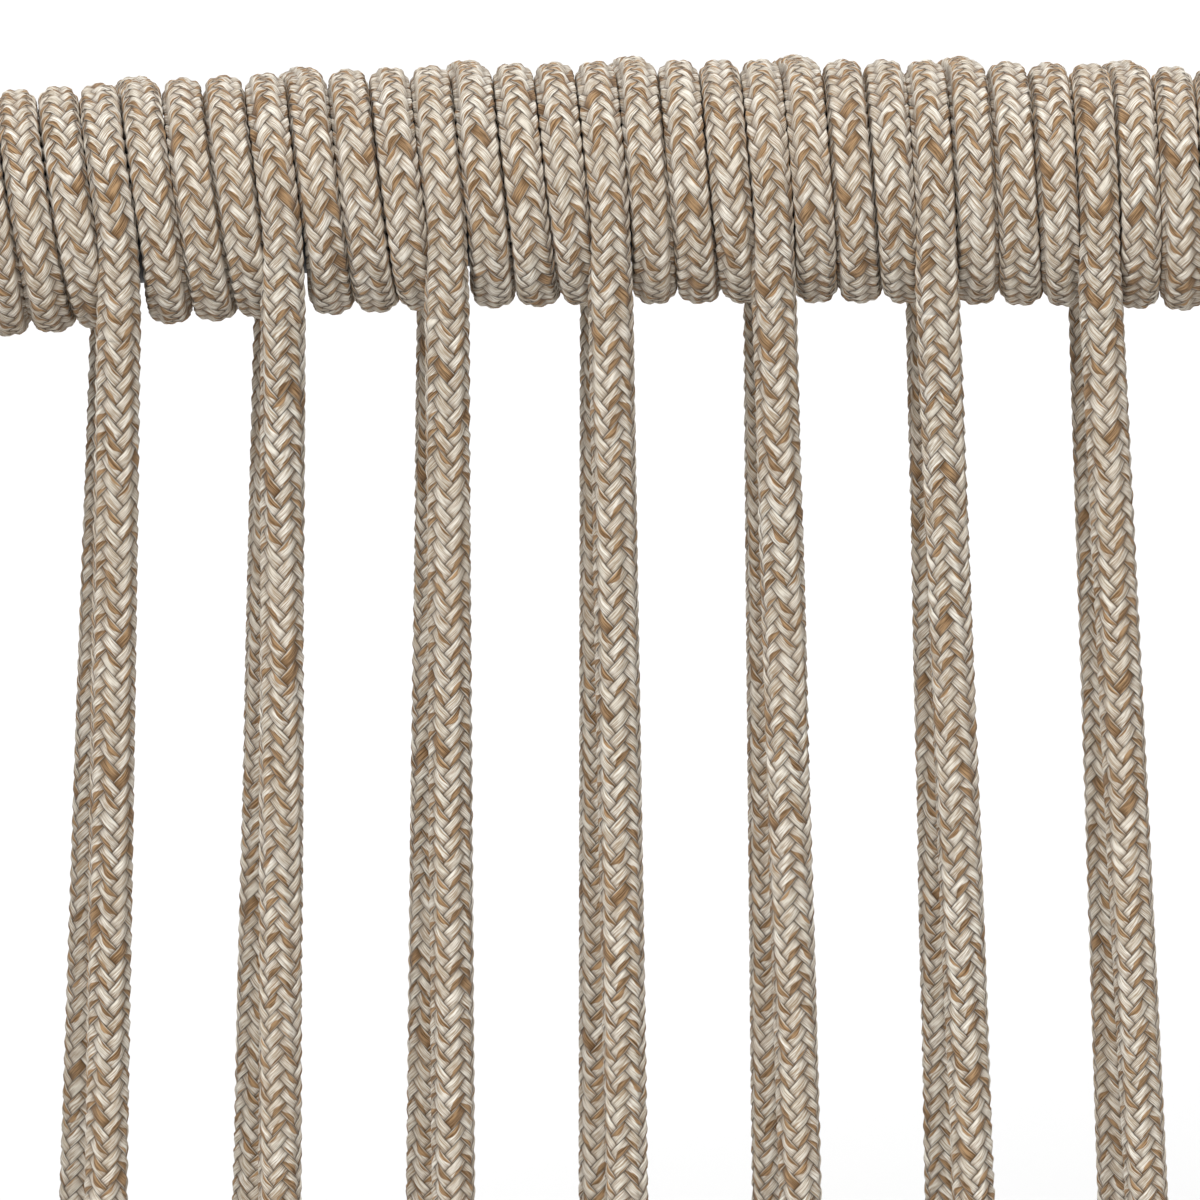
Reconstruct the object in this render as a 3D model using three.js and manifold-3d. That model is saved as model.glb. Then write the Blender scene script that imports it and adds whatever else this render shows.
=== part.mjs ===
// Rope-strung backrest panel for an outdoor chair.
//
// A bolted frame of four powder-coated tubes (two bent rails, two splayed uprights in slotted feet)
// carries one braided rope. The rope winds three and a half turns round the top rail, drops in
// front of the panel, passes under the bottom rail, rises behind the panel and winds again.
//
// Millimetres. +X is the right as seen from the front, +Y points to the back, +Z is up.
// The origin is the centre of the mounting plane under the two feet.

import * as THREE from "three";
import { mergeVertices } from "three/addons/utils/BufferGeometryUtils.js";
import Module from "manifold-3d";

const wasm = await Module();
wasm.setup();

// ---------------------------------------------------------------- driving dimensions

const fit = 0.3; // clearance between pieces that touch
const mergeDistance = 1e-4; // corners this near are one corner

const tube = { radius: 14, wall: 2.5, sides: 20 };

const frame = {
  topRailHeight: 400, // rail centre line at mid span
  bottomRailRise: 34, // the same above the rims of the foot sockets
  topHalfSpan: 212, // from mid span to the upright's axis
  bottomHalfSpan: 243,
  bendRadius: 1400,
  bendTilt: THREE.MathUtils.degToRad(38), // the bend's plane leans from level towards upright
  bendSteps: 10,
  uprightRise: 26, // upright above the top rail's centre line
};

const corner = {
  saddleInset: 1, // the saddle's rim inside the tube's outside
  saddleWall: 3, // between the rail's end and the upright, more where the upright leans into it
  washerRadius: 9,
  washerWall: 3,
  plugLength: 14,
  plugGap: 0.8, // the plug is straight, the rail round it slightly bent
  sides: 16,
};

const bolt = { radius: 3, headRadius: 5.5, headHeight: 3.4, socketAcross: 4, socketDepth: 2, sides: 12 };

const cap = { spigotLength: 12, rim: 1.5, crown: 3.5, crownSteps: 4 };

const foot = {
  depth: 86, // along Y
  width: 46, // along X
  thickness: 6,
  cornerRadius: 8,
  slotWidth: 9,
  slotLength: 15,
  socketHeight: 46,
  socketWall: 4,
  screwHeight: 28,
  screwLength: 4.6,
  screwKeyAcross: 3,
  cornerSteps: 5,
};

const rope = {
  woundRadius: 3.4, // pressed between its neighbours on the rail
  freeRadius: 3.9, // where it runs free
  sideGap: 0.4, // between turns side by side on the rail
  woundSides: 6,
  freeSides: 8,
};

const ropeSlot = 2 * rope.woundRadius + rope.sideGap; // one rope's width along the rail

// A winding takes one slot along the rail for each full turn and one for its front run.
const lacing = {
  fullTurns: 3, // a winding has these and half a turn more, from back to front
  topEndRoom: 24.5, // bare rail from the upright's axis to the outermost winding, at least
  bottomEndRoom: 35.6, // the same on the bottom rail
  stepsPerTurn: 10,
  guide: 9, // a run drops this far beside its neighbours before it heads for the bottom rail
  tail: 18, // from the rail's mid height to the end of a winding, clear of its neighbours
  sideDrift: 0.36, // slots gained behind the rail before they are due
  crossOver: 0.75, // slots by which an arriving run lies over the turn before it
  crossOverTurns: 0.3,
  underDrift: -5.8, // sideways drift of a run as it passes under the bottom rail
  turnSteps: 8,
};
const turns = lacing.fullTurns + 0.5;
const slotsPerWinding = lacing.fullTurns + 1;

const grommet = {
  rim: 7.6,
  rimHeight: 2,
  barrelWall: 0.8,
  boreGap: 0.7,
  sides: 16,
  mouthRise: 8.4, // from the rail's outside to where a rope end heads for the top rail
};

const knot = { radius: 5.6, boltRoom: 3, sides: 12, rings: 8 };

// ---------------------------------------------------------------- materials

const finishes = {
  powderCoat: { color: 0x33363a, roughness: 0.55, metalness: 0.3 },
  stainless: { color: 0xb9bcc0, roughness: 0.3, metalness: 0.95 },
  plastic: { color: 0x232426, roughness: 0.6, metalness: 0 },
  rope: { color: 0xb3a58d, roughness: 0.85, metalness: 0 },
};

function piece(name, geometry, finish) {
  const mesh = new THREE.Mesh(geometry, new THREE.MeshStandardMaterial(finishes[finish]));
  mesh.name = name;
  return mesh;
}

// ---------------------------------------------------------------- solids

function toSolid(geometry) {
  const bare = geometry.clone();
  bare.deleteAttribute("normal");
  bare.deleteAttribute("uv");
  const merged = mergeVertices(bare, mergeDistance);
  const vertProperties = new Float32Array(merged.attributes.position.array);
  const triVerts = new Uint32Array(merged.index.array);
  return new wasm.Manifold(new wasm.Mesh({ numProp: 3, vertProperties, triVerts }));
}

function toGeometry(solid) {
  const mesh = solid.getMesh();
  const geometry = new THREE.BufferGeometry();
  geometry.setAttribute("position", new THREE.Float32BufferAttribute(mesh.vertProperties, 3));
  geometry.setIndex(Array.from(mesh.triVerts));
  geometry.computeVertexNormals();
  return geometry;
}

function subtract(geometry, ...cutters) {
  const left = cutters.reduce((solid, cutter) => solid.subtract(toSolid(cutter)), toSolid(geometry));
  return toGeometry(left);
}

function join(...geometries) {
  return toGeometry(geometries.map(toSolid).reduce((all, solid) => all.add(solid)));
}

// A cylinder between two points.
function rod(radius, from, to, sides) {
  const along = new THREE.Vector3().subVectors(to, from);
  const geometry = new THREE.CylinderGeometry(radius, radius, along.length(), sides);
  geometry.applyQuaternion(turnTo(new THREE.Vector3(0, 1, 0), along));
  return geometry.translate(...new THREE.Vector3().addVectors(from, to).multiplyScalar(0.5).toArray());
}

function turnTo(start, direction) {
  return new THREE.Quaternion().setFromUnitVectors(start, direction.clone().normalize());
}

// A turned piece on the local X axis, from a profile of [distance along X, radius].
function turned(profile, sides) {
  const points = profile.map(([along, radius]) => new THREE.Vector2(radius, along));
  return new THREE.LatheGeometry(points, sides).rotateZ(-Math.PI / 2);
}

function turnedRing(inner, outer, from, to, sides) {
  return turned([[from, inner], [from, outer], [to, outer], [to, inner], [from, inner]], sides);
}

function circle(radius, sides, Type = THREE.Shape) {
  const corners = [];
  for (let i = 0; i < sides; i += 1) {
    const angle = (2 * Math.PI * i) / sides;
    corners.push(new THREE.Vector2(radius * Math.cos(angle), radius * Math.sin(angle)));
  }
  return new Type(corners);
}

function tubeSection() {
  const section = circle(tube.radius, tube.sides);
  section.holes.push(circle(tube.radius - tube.wall, tube.sides, THREE.Path));
  return section;
}

// ---------------------------------------------------------------- curves

// A rail's centre line: one circular bend whose ends come forward and down from mid span.
class RailCurve extends THREE.Curve {
  constructor(height, halfSpan) {
    super();
    const endAngle = Math.asin(halfSpan / frame.bendRadius);
    const drop = frame.bendRadius * (1 - Math.cos(endAngle));
    this.inward = new THREE.Vector3(0, -Math.cos(frame.bendTilt), -Math.sin(frame.bendTilt));
    this.middle = new THREE.Vector3(0, drop * Math.cos(frame.bendTilt), height);
    this.halfLength = frame.bendRadius * endAngle;
    this.endGap = 0; // set once the uprights' lean is known
  }

  // The point at a length along the rail from mid span.
  at(length) {
    const angle = length / frame.bendRadius;
    const point = this.middle.clone();
    point.x += frame.bendRadius * Math.sin(angle);
    return point.addScaledVector(this.inward, frame.bendRadius * (1 - Math.cos(angle)));
  }

  tangentAt(length) {
    const angle = length / frame.bendRadius;
    const tangent = new THREE.Vector3(Math.cos(angle), 0, 0);
    return tangent.addScaledVector(this.inward, Math.sin(angle)).normalize();
  }

  // A point off the rail: turn 0 is behind it, a quarter above, a half in front.
  around(length, turn, radius) {
    const tangent = this.tangentAt(length);
    const back = new THREE.Vector3(0, 0, 1).cross(tangent).normalize();
    const up = new THREE.Vector3().crossVectors(tangent, back);
    const angle = 2 * Math.PI * turn;
    const point = this.at(length).addScaledVector(back, radius * Math.cos(angle));
    return point.addScaledVector(up, radius * Math.sin(angle));
  }

  getPoint(t) {
    return this.at((2 * t - 1) * (this.halfLength - this.endGap));
  }
}

// A line through stations, which an extrusion visits one after another.
class StationCurve extends THREE.Curve {
  constructor(stations) {
    super();
    this.stations = stations;
  }

  getPoint(t) {
    const place = THREE.MathUtils.clamp(t, 0, 1) * (this.stations.length - 1);
    const index = Math.min(Math.floor(place), this.stations.length - 2);
    return new THREE.Vector3().lerpVectors(
      this.stations[index],
      this.stations[index + 1],
      place - index,
    );
  }

  getUtoTmapping(u) {
    return u;
  }
}

function sweep(section, curve, steps) {
  return new THREE.ExtrudeGeometry(section, { steps, extrudePath: curve, bevelEnabled: false });
}

function ropeAlong(stations, radius, sides) {
  return sweep(circle(radius, sides), new StationCurve(stations), stations.length - 1);
}

const bottomRailHeight = foot.socketHeight + frame.bottomRailRise;
const topRail = new RailCurve(frame.topRailHeight, frame.topHalfSpan);
const bottomRail = new RailCurve(bottomRailHeight, frame.bottomHalfSpan);

// ---------------------------------------------------------------- frame

// Where an upright's axis meets the two rails, on side -1 (left) or +1 (right).
function uprightLine(side) {
  const top = topRail.at(side * topRail.halfLength);
  const bottom = bottomRail.at(side * bottomRail.halfLength);
  const axis = new THREE.Vector3().subVectors(top, bottom).normalize();
  const lean = Math.sqrt(1 - axis.z * axis.z);
  const footRise = foot.thickness + fit + tube.radius * lean;
  const lower = bottom.clone().addScaledVector(axis, (footRise - bottom.z) / axis.z);
  const upper = top.clone().addScaledVector(axis, frame.uprightRise);
  return { top, bottom, axis, lower, upper };
}

// From an upright's axis to the end of a rail's tube, whose edge clears the leaning upright.
function railEndGap(rail) {
  const lean = Math.abs(rail.tangentAt(rail.halfLength).dot(uprightLine(1).axis));
  const edgeReach = (tube.radius * (1 + lean)) / Math.sqrt(1 - lean * lean);
  return Math.max(tube.radius + corner.saddleWall + 2 * fit, edgeReach + fit);
}

// From mid span to a rope end's grommet: its knot lies just inside the corner bolt's tip.
function grommetPlace() {
  const boltTip = bottomRail.halfLength - railEndGap(bottomRail) - corner.plugLength;
  return boltTip - knot.boltRoom - knot.radius;
}

function makeRails() {
  topRail.endGap = railEndGap(topRail);
  bottomRail.endGap = railEndGap(bottomRail);
  const section = tubeSection();
  const top = sweep(section, topRail, frame.bendSteps);
  const blank = sweep(section, bottomRail, frame.bendSteps);
  const holes = [-1, 1].map((side) => {
    const length = side * grommetPlace();
    const mouth = bottomRail.around(length, 0.25, 2 * tube.radius);
    return rod(barrelRadius() + fit, bottomRail.at(length), mouth, grommet.sides);
  });
  return [
    piece("top_rail", top, "powderCoat"),
    piece("bottom_rail", subtract(blank, ...holes), "powderCoat"),
  ];
}

function makeUpright(name, side) {
  const line = uprightLine(side);
  const length = line.lower.distanceTo(line.upper);
  const blank = new THREE.ExtrudeGeometry(tubeSection(), { depth: length, bevelEnabled: false });
  const stand = turnTo(new THREE.Vector3(0, 0, 1), line.axis);
  const toUpright = stand.clone().invert();
  const holes = [topRail, bottomRail].map((rail) => {
    const out = rail.tangentAt(side * rail.halfLength).multiplyScalar(2 * tube.radius);
    const cross = rail.at(side * rail.halfLength).sub(line.lower).applyQuaternion(toUpright);
    const reach = out.applyQuaternion(toUpright);
    const from = cross.clone().sub(reach);
    return rod(bolt.radius + fit, from, cross.clone().add(reach), bolt.sides);
  });
  const mesh = piece(name, subtract(blank, ...holes), "powderCoat");
  mesh.position.copy(line.lower);
  mesh.quaternion.copy(stand);
  return mesh;
}

// One bolted corner in its own axes: X runs out along the rail, through the upright's axis at 0.
function makeCorner(place, rail, side) {
  const line = uprightLine(side);
  const out = rail.tangentAt(side * rail.halfLength).multiplyScalar(side);
  const up = line.axis.clone().addScaledVector(out, -line.axis.dot(out)).normalize();
  const group = new THREE.Group();
  group.position.copy(rail.at(side * rail.halfLength));
  const basis = new THREE.Matrix4().makeBasis(out, new THREE.Vector3().crossVectors(up, out), up);
  group.quaternion.setFromRotationMatrix(basis);

  const localAxis = line.axis.clone().applyQuaternion(group.quaternion.clone().invert());
  const reach = localAxis.multiplyScalar(3 * tube.radius);
  const uprightBody = rod(tube.radius + fit, reach.clone().negate(), reach, tube.sides);

  const railEnd = -rail.endGap;
  const plugTip = railEnd - corner.plugLength;
  const saddleBlank = turnedRing(
    bolt.radius + fit, tube.radius - corner.saddleInset, railEnd + fit, 0, corner.sides,
  );
  const washerFace = tube.radius + fit + corner.washerWall;
  const washerBlank = turnedRing(
    bolt.radius + fit, corner.washerRadius, tube.radius / 2, washerFace, corner.sides,
  );
  const boreRadius = tube.radius - tube.wall;
  const plug = turnedRing(
    bolt.radius + fit, boreRadius - corner.plugGap, plugTip, railEnd, corner.sides,
  );
  const boltMesh = piece(`bolt_${place}`, boltGeometry(plugTip, washerFace), "stainless");
  boltMesh.position.x = washerFace + fit;
  group.add(
    piece(`rail_plug_${place}`, plug, "plastic"),
    piece(`saddle_${place}`, subtract(saddleBlank, uprightBody), "plastic"),
    piece(`washer_${place}`, subtract(washerBlank, uprightBody), "stainless"),
    boltMesh,
  );
  return group;
}

// A button-head bolt whose head seats at 0 and whose tip ends flush with the plug.
function boltGeometry(tip, seat) {
  const length = seat + fit - tip;
  const chamfer = bolt.radius / 5;
  const profile = [
    [-length, 0],
    [-length, bolt.radius - chamfer],
    [chamfer - length, bolt.radius],
    [0, bolt.radius],
    [0, bolt.headRadius],
    [0.25 * bolt.headHeight, bolt.headRadius],
    [0.75 * bolt.headHeight, 0.8 * bolt.headRadius],
    [bolt.headHeight, 0.45 * bolt.headRadius],
    [bolt.headHeight, 0],
  ];
  const socketRadius = bolt.socketAcross / Math.sqrt(3);
  const floor = new THREE.Vector3(bolt.headHeight - bolt.socketDepth, 0, 0);
  const mouth = new THREE.Vector3(bolt.headHeight + 1, 0, 0);
  return subtract(turned(profile, bolt.sides), rod(socketRadius, floor, mouth, 6));
}

function makeCap(name, side) {
  const line = uprightLine(side);
  const spigot = tube.radius - tube.wall - fit;
  const profile = [
    [-cap.spigotLength, 0],
    [-cap.spigotLength, spigot],
    [fit, spigot],
    [fit, tube.radius],
  ];
  for (let i = 0; i <= cap.crownSteps; i += 1) {
    const angle = (Math.PI / 2) * (i / cap.crownSteps);
    profile.push([fit + cap.rim + cap.crown * Math.sin(angle), tube.radius * Math.cos(angle)]);
  }
  profile[profile.length - 1][1] = 0;
  const mesh = piece(name, turned(profile, tube.sides), "plastic");
  mesh.position.copy(line.upper);
  mesh.quaternion.copy(turnTo(new THREE.Vector3(1, 0, 0), line.axis));
  return mesh;
}

// The foot's outline: rounded corners, and a screw slot open to the front and the back edge.
function footOutline() {
  const halfWidth = foot.width / 2;
  const halfDepth = foot.depth / 2;
  const round = foot.cornerRadius;
  const slot = foot.slotWidth / 2;
  const slotEnd = halfDepth - foot.slotLength + slot;
  const outline = new THREE.Shape();
  outline.moveTo(halfWidth, round - halfDepth);
  outline.lineTo(halfWidth, halfDepth - round);
  outline.absarc(halfWidth - round, halfDepth - round, round, 0, Math.PI / 2);
  outline.lineTo(slot, halfDepth);
  outline.lineTo(slot, slotEnd);
  outline.absarc(0, slotEnd, slot, 0, -Math.PI, true);
  outline.lineTo(-slot, halfDepth);
  outline.lineTo(round - halfWidth, halfDepth);
  outline.absarc(round - halfWidth, halfDepth - round, round, Math.PI / 2, Math.PI);
  outline.lineTo(-halfWidth, round - halfDepth);
  outline.absarc(round - halfWidth, round - halfDepth, round, Math.PI, 1.5 * Math.PI);
  outline.lineTo(-slot, -halfDepth);
  outline.lineTo(-slot, -slotEnd);
  outline.absarc(0, -slotEnd, slot, Math.PI, 0, true);
  outline.lineTo(slot, -halfDepth);
  outline.lineTo(halfWidth - round, -halfDepth);
  outline.absarc(halfWidth - round, round - halfDepth, round, 1.5 * Math.PI, 2 * Math.PI);
  return outline;
}

// A foot in axes that stand on the mounting plane under the upright's lower end.
function makeFoot(side, footName, screwName) {
  const line = uprightLine(side);
  const group = new THREE.Group();
  group.position.set(line.lower.x, line.lower.y, 0);
  const seat = new THREE.Vector3(0, 0, line.lower.z);
  const at = (rise) => seat.clone().addScaledVector(line.axis, (rise - seat.z) / line.axis.z);

  const plate = new THREE.ExtrudeGeometry(footOutline(), {
    depth: foot.thickness, bevelEnabled: false, curveSegments: foot.cornerSteps,
  });
  const boreRadius = tube.radius + fit;
  const socketRadius = boreRadius + foot.socketWall;
  const socket = rod(socketRadius, at(-foot.thickness), at(foot.socketHeight), tube.sides);
  const under = new THREE.BoxGeometry(foot.depth, foot.depth, foot.thickness * 4);
  under.translate(0, 0, -foot.thickness * 2);
  const bore = rod(boreRadius, seat.clone().addScaledVector(line.axis, -fit), at(2 * foot.socketHeight),
    tube.sides);

  const screwAt = at(foot.screwHeight);
  const outward = new THREE.Vector3(0, socketRadius + bolt.radius, 0);
  const thread = rod(bolt.radius + fit, screwAt, screwAt.clone().add(outward), bolt.sides);
  const body = subtract(join(plate, socket), under, bore, thread);

  const screwBlank = turned(
    [[0, 0], [0, bolt.radius], [foot.screwLength, bolt.radius], [foot.screwLength, 0]], bolt.sides,
  );
  const floor = new THREE.Vector3(foot.screwLength - bolt.socketDepth, 0, 0);
  const mouth = new THREE.Vector3(foot.screwLength + 1, 0, 0);
  const screw = subtract(screwBlank, rod(foot.screwKeyAcross / Math.sqrt(3), floor, mouth, 6));
  const screwMesh = piece(screwName, screw, "stainless");
  screwMesh.position.copy(screwAt).add(new THREE.Vector3(0, boreRadius, 0));
  screwMesh.rotation.z = Math.PI / 2;
  group.add(piece(footName, body, "powderCoat"), screwMesh);
  return group;
}

function barrelRadius() {
  return rope.freeRadius + grommet.boreGap + grommet.barrelWall;
}

// The collar where a rope end enters the bottom rail. X points up out of the rail, 0 is its axis.
function makeGrommet(name, side) {
  const length = side * grommetPlace();
  const bore = rope.freeRadius + grommet.boreGap;
  const rimTop = tube.radius + fit + grommet.rimHeight;
  const rimBlank = turnedRing(bore, grommet.rim, tube.radius / 2, rimTop, grommet.sides);
  const along = new THREE.Vector3(0, 0, 2 * grommet.rim);
  const railBody = rod(tube.radius + fit, along.clone().negate(), along, tube.sides);
  const barrelFoot = tube.radius - tube.wall - fit;
  const barrelTop = rimTop - grommet.rimHeight / 2;
  const barrel = turnedRing(bore, barrelRadius(), barrelFoot, barrelTop, grommet.sides);
  const mesh = piece(name, join(subtract(rimBlank, railBody), barrel), "plastic");
  const up = bottomRail.around(length, 0.25, 1).sub(bottomRail.at(length));
  const tangent = bottomRail.tangentAt(length);
  const basis = new THREE.Matrix4().makeBasis(up, new THREE.Vector3().crossVectors(tangent, up), tangent);
  mesh.position.copy(bottomRail.at(length));
  mesh.quaternion.setFromRotationMatrix(basis);
  return mesh;
}

// ---------------------------------------------------------------- rope

const woundCentre = (tube.radius + fit + rope.woundRadius) / Math.cos(Math.PI / lacing.stepsPerTurn);
const turnCentre = (tube.radius + fit + rope.freeRadius) / Math.cos(Math.PI / 2 / lacing.turnSteps);

// The windings fill the top rail between its end rooms. The front run is the last slot of each.
const windingWidth = slotsPerWinding * ropeSlot;
const windings = Math.floor((2 * (frame.topHalfSpan - lacing.topEndRoom)) / windingWidth);
const lacedHalf = ((windings - 1) * windingWidth) / 2;
const firstFrontRun = ((slotsPerWinding - 1) * ropeSlot) / 2 - lacedHalf;

// A run's place on the bottom rail over its place on the top rail.
const fan = (frame.bottomHalfSpan - lacing.bottomEndRoom) / lacedHalf;

function frontRunOnTop(index) {
  return firstFrontRun + index * windingWidth;
}

function frontRunBelow(index) {
  return fan * frontRunOnTop(index);
}

// How far along the rail a winding has come, in slots, at a turn counted back from its front run.
function slotsAt(turn) {
  return turn + (lacing.sideDrift / 2) * (1 - Math.cos(2 * Math.PI * turn));
}

// A winding's place on the rail. The arriving run lies over the turn before it, as far as their
// spacing is less than a rope's width, and rolls down beside it as it comes over the top.
function windingPoint(index, turn) {
  const sinceArrival = (turn + turns) / lacing.crossOverTurns;
  const crossing = index > 0 && sinceArrival < 1 ? Math.cos((Math.PI / 2) * sinceArrival) ** 2 : 0;
  const spacing = 1 - lacing.crossOver * crossing;
  const lift = (ropeSlot + fit) * Math.sqrt(1 - spacing * spacing);
  const length = frontRunOnTop(index) + ropeSlot * (slotsAt(turn) - lacing.crossOver * crossing);
  return topRail.around(length, 0.5 + turn, woundCentre + lift);
}

// Where the front and the back run of a winding meet the bottom rail.
function runEnds(index) {
  const front = bottomRail.around(frontRunBelow(index), 0.5, turnCentre);
  const back = index > 0
    ? bottomRail.around(frontRunBelow(index - 1) + lacing.underDrift, 0, turnCentre)
    : ropeEndMouth(-1);
  return { front: index < windings - 1 ? front : ropeEndMouth(1), back };
}

function ropeEndMouth(side) {
  return bottomRail.around(side * grommetPlace(), 0.25, tube.radius + grommet.mouthRise);
}

// A point on a winding's front or back run, at a length from the rail's mid height.
function alongRun(index, isFront, length) {
  const head = windingPoint(index, isFront ? 0 : -turns).add(new THREE.Vector3(0, 0, -lacing.guide));
  const ends = runEnds(index);
  const direction = new THREE.Vector3().subVectors(isFront ? ends.front : ends.back, head).normalize();
  return head.addScaledVector(direction, length - lacing.guide);
}

function makeWinding(index) {
  const steps = turns * lacing.stepsPerTurn;
  const helix = [];
  for (let i = 0; i <= steps; i += 1) {
    helix.push(windingPoint(index, -turns + i / lacing.stepsPerTurn));
  }
  const stations = [
    alongRun(index, false, lacing.tail),
    alongRun(index, false, lacing.guide),
    ...helix,
    alongRun(index, true, lacing.guide),
    alongRun(index, true, lacing.tail),
  ];
  return piece(`rope_winding_${twoDigits(index + 1)}`,
    ropeAlong(stations, rope.woundRadius, rope.woundSides), "rope");
}

function runTop(index, isFront) {
  return alongRun(index, isFront, lacing.tail + fit);
}

// The front run of one winding, its turn under the bottom rail and the next winding's back run.
function makeLoop(index) {
  const under = [];
  for (let i = 0; i <= lacing.turnSteps; i += 1) {
    const share = i / lacing.turnSteps;
    const length = frontRunBelow(index) + lacing.underDrift * share;
    under.push(bottomRail.around(length, 0.5 + share / 2, turnCentre));
  }
  const stations = [runTop(index, true), ...under, runTop(index + 1, false)];
  return piece(`rope_loop_${twoDigits(index + 1)}`,
    ropeAlong(stations, rope.freeRadius, rope.freeSides), "rope");
}

// A rope end: a run that enters the bottom rail through its grommet and stops in a knot inside.
function makeRopeEnd(name, side) {
  const isFront = side > 0;
  const knotCentre = bottomRail.at(side * grommetPlace());
  const top = runTop(isFront ? windings - 1 : 0, isFront);
  const run = ropeAlong([knotCentre, ropeEndMouth(side), top], rope.freeRadius, rope.freeSides);
  const ball = new THREE.SphereGeometry(knot.radius, knot.sides, knot.rings);
  ball.translate(...knotCentre.toArray());
  return piece(name, join(run, ball), "rope");
}

function twoDigits(number) {
  return String(number).padStart(2, "0");
}

// ---------------------------------------------------------------- assembly

const panel = new THREE.Group();

panel.add(...makeRails());
panel.add(makeUpright("left_upright", -1), makeUpright("right_upright", 1));
panel.add(
  makeCorner("top_left", topRail, -1),
  makeCorner("top_right", topRail, 1),
  makeCorner("bottom_left", bottomRail, -1),
  makeCorner("bottom_right", bottomRail, 1),
);
panel.add(makeCap("left_top_cap", -1), makeCap("right_top_cap", 1));
panel.add(
  makeFoot(-1, "left_foot", "left_foot_screw"),
  makeFoot(1, "right_foot", "right_foot_screw"),
);
panel.add(makeGrommet("left_rope_grommet", -1), makeGrommet("right_rope_grommet", 1));

for (let i = 0; i < windings; i += 1) {
  panel.add(makeWinding(i));
}
for (let i = 0; i < windings - 1; i += 1) {
  panel.add(makeLoop(i));
}
panel.add(makeRopeEnd("rope_start_run", -1), makeRopeEnd("rope_finish_run", 1));

export default panel;
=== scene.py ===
"""Looks of a rope-strung chair backrest panel: its braided rope, tube frame, fittings and studio.

Everything is in metres. +X is the right as seen from the front, +Y points to the back, +Z is up, and
the origin is the centre of the mounting plane under the two feet.
"""

from __future__ import annotations

import logging
import math
from dataclasses import dataclass, field
from enum import Enum

import bmesh
import bpy
import numpy as np
from mathutils import Matrix, Vector


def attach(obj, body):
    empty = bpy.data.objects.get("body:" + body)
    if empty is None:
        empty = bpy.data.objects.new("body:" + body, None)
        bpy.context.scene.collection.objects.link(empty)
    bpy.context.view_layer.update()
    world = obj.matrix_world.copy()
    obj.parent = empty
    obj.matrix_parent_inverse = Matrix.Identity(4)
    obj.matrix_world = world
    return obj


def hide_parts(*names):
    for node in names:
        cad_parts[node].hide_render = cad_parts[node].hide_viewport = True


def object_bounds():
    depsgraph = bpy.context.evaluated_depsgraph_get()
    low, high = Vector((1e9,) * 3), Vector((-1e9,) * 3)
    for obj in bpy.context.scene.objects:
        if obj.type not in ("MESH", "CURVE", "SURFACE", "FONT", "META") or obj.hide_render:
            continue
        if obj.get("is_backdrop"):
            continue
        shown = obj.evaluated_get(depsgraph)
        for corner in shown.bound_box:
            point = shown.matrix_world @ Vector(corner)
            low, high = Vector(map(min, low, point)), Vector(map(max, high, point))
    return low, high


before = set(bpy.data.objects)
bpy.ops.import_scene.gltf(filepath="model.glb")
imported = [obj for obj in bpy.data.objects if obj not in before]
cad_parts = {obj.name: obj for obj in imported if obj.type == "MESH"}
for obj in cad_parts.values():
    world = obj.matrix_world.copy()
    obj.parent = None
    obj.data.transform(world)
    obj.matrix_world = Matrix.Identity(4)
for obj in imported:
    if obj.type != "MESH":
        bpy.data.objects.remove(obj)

log = logging.getLogger("backrest")

MM = 0.001
ROOT = "root"


class Slot(Enum):
    """The record's material slots."""

    POWDER_COAT = "powder_coat"
    STAINLESS = "stainless"
    PLASTIC = "plastic"
    ROPE = "rope"


class Side(Enum):
    """The panel's two sides as seen from the front."""

    LEFT = -1
    RIGHT = 1

    @property
    def word(self) -> str:
        """The side's name in node names."""
        return self.name.lower()


# ------------------------------------------------------------------------------ node arithmetic


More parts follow.
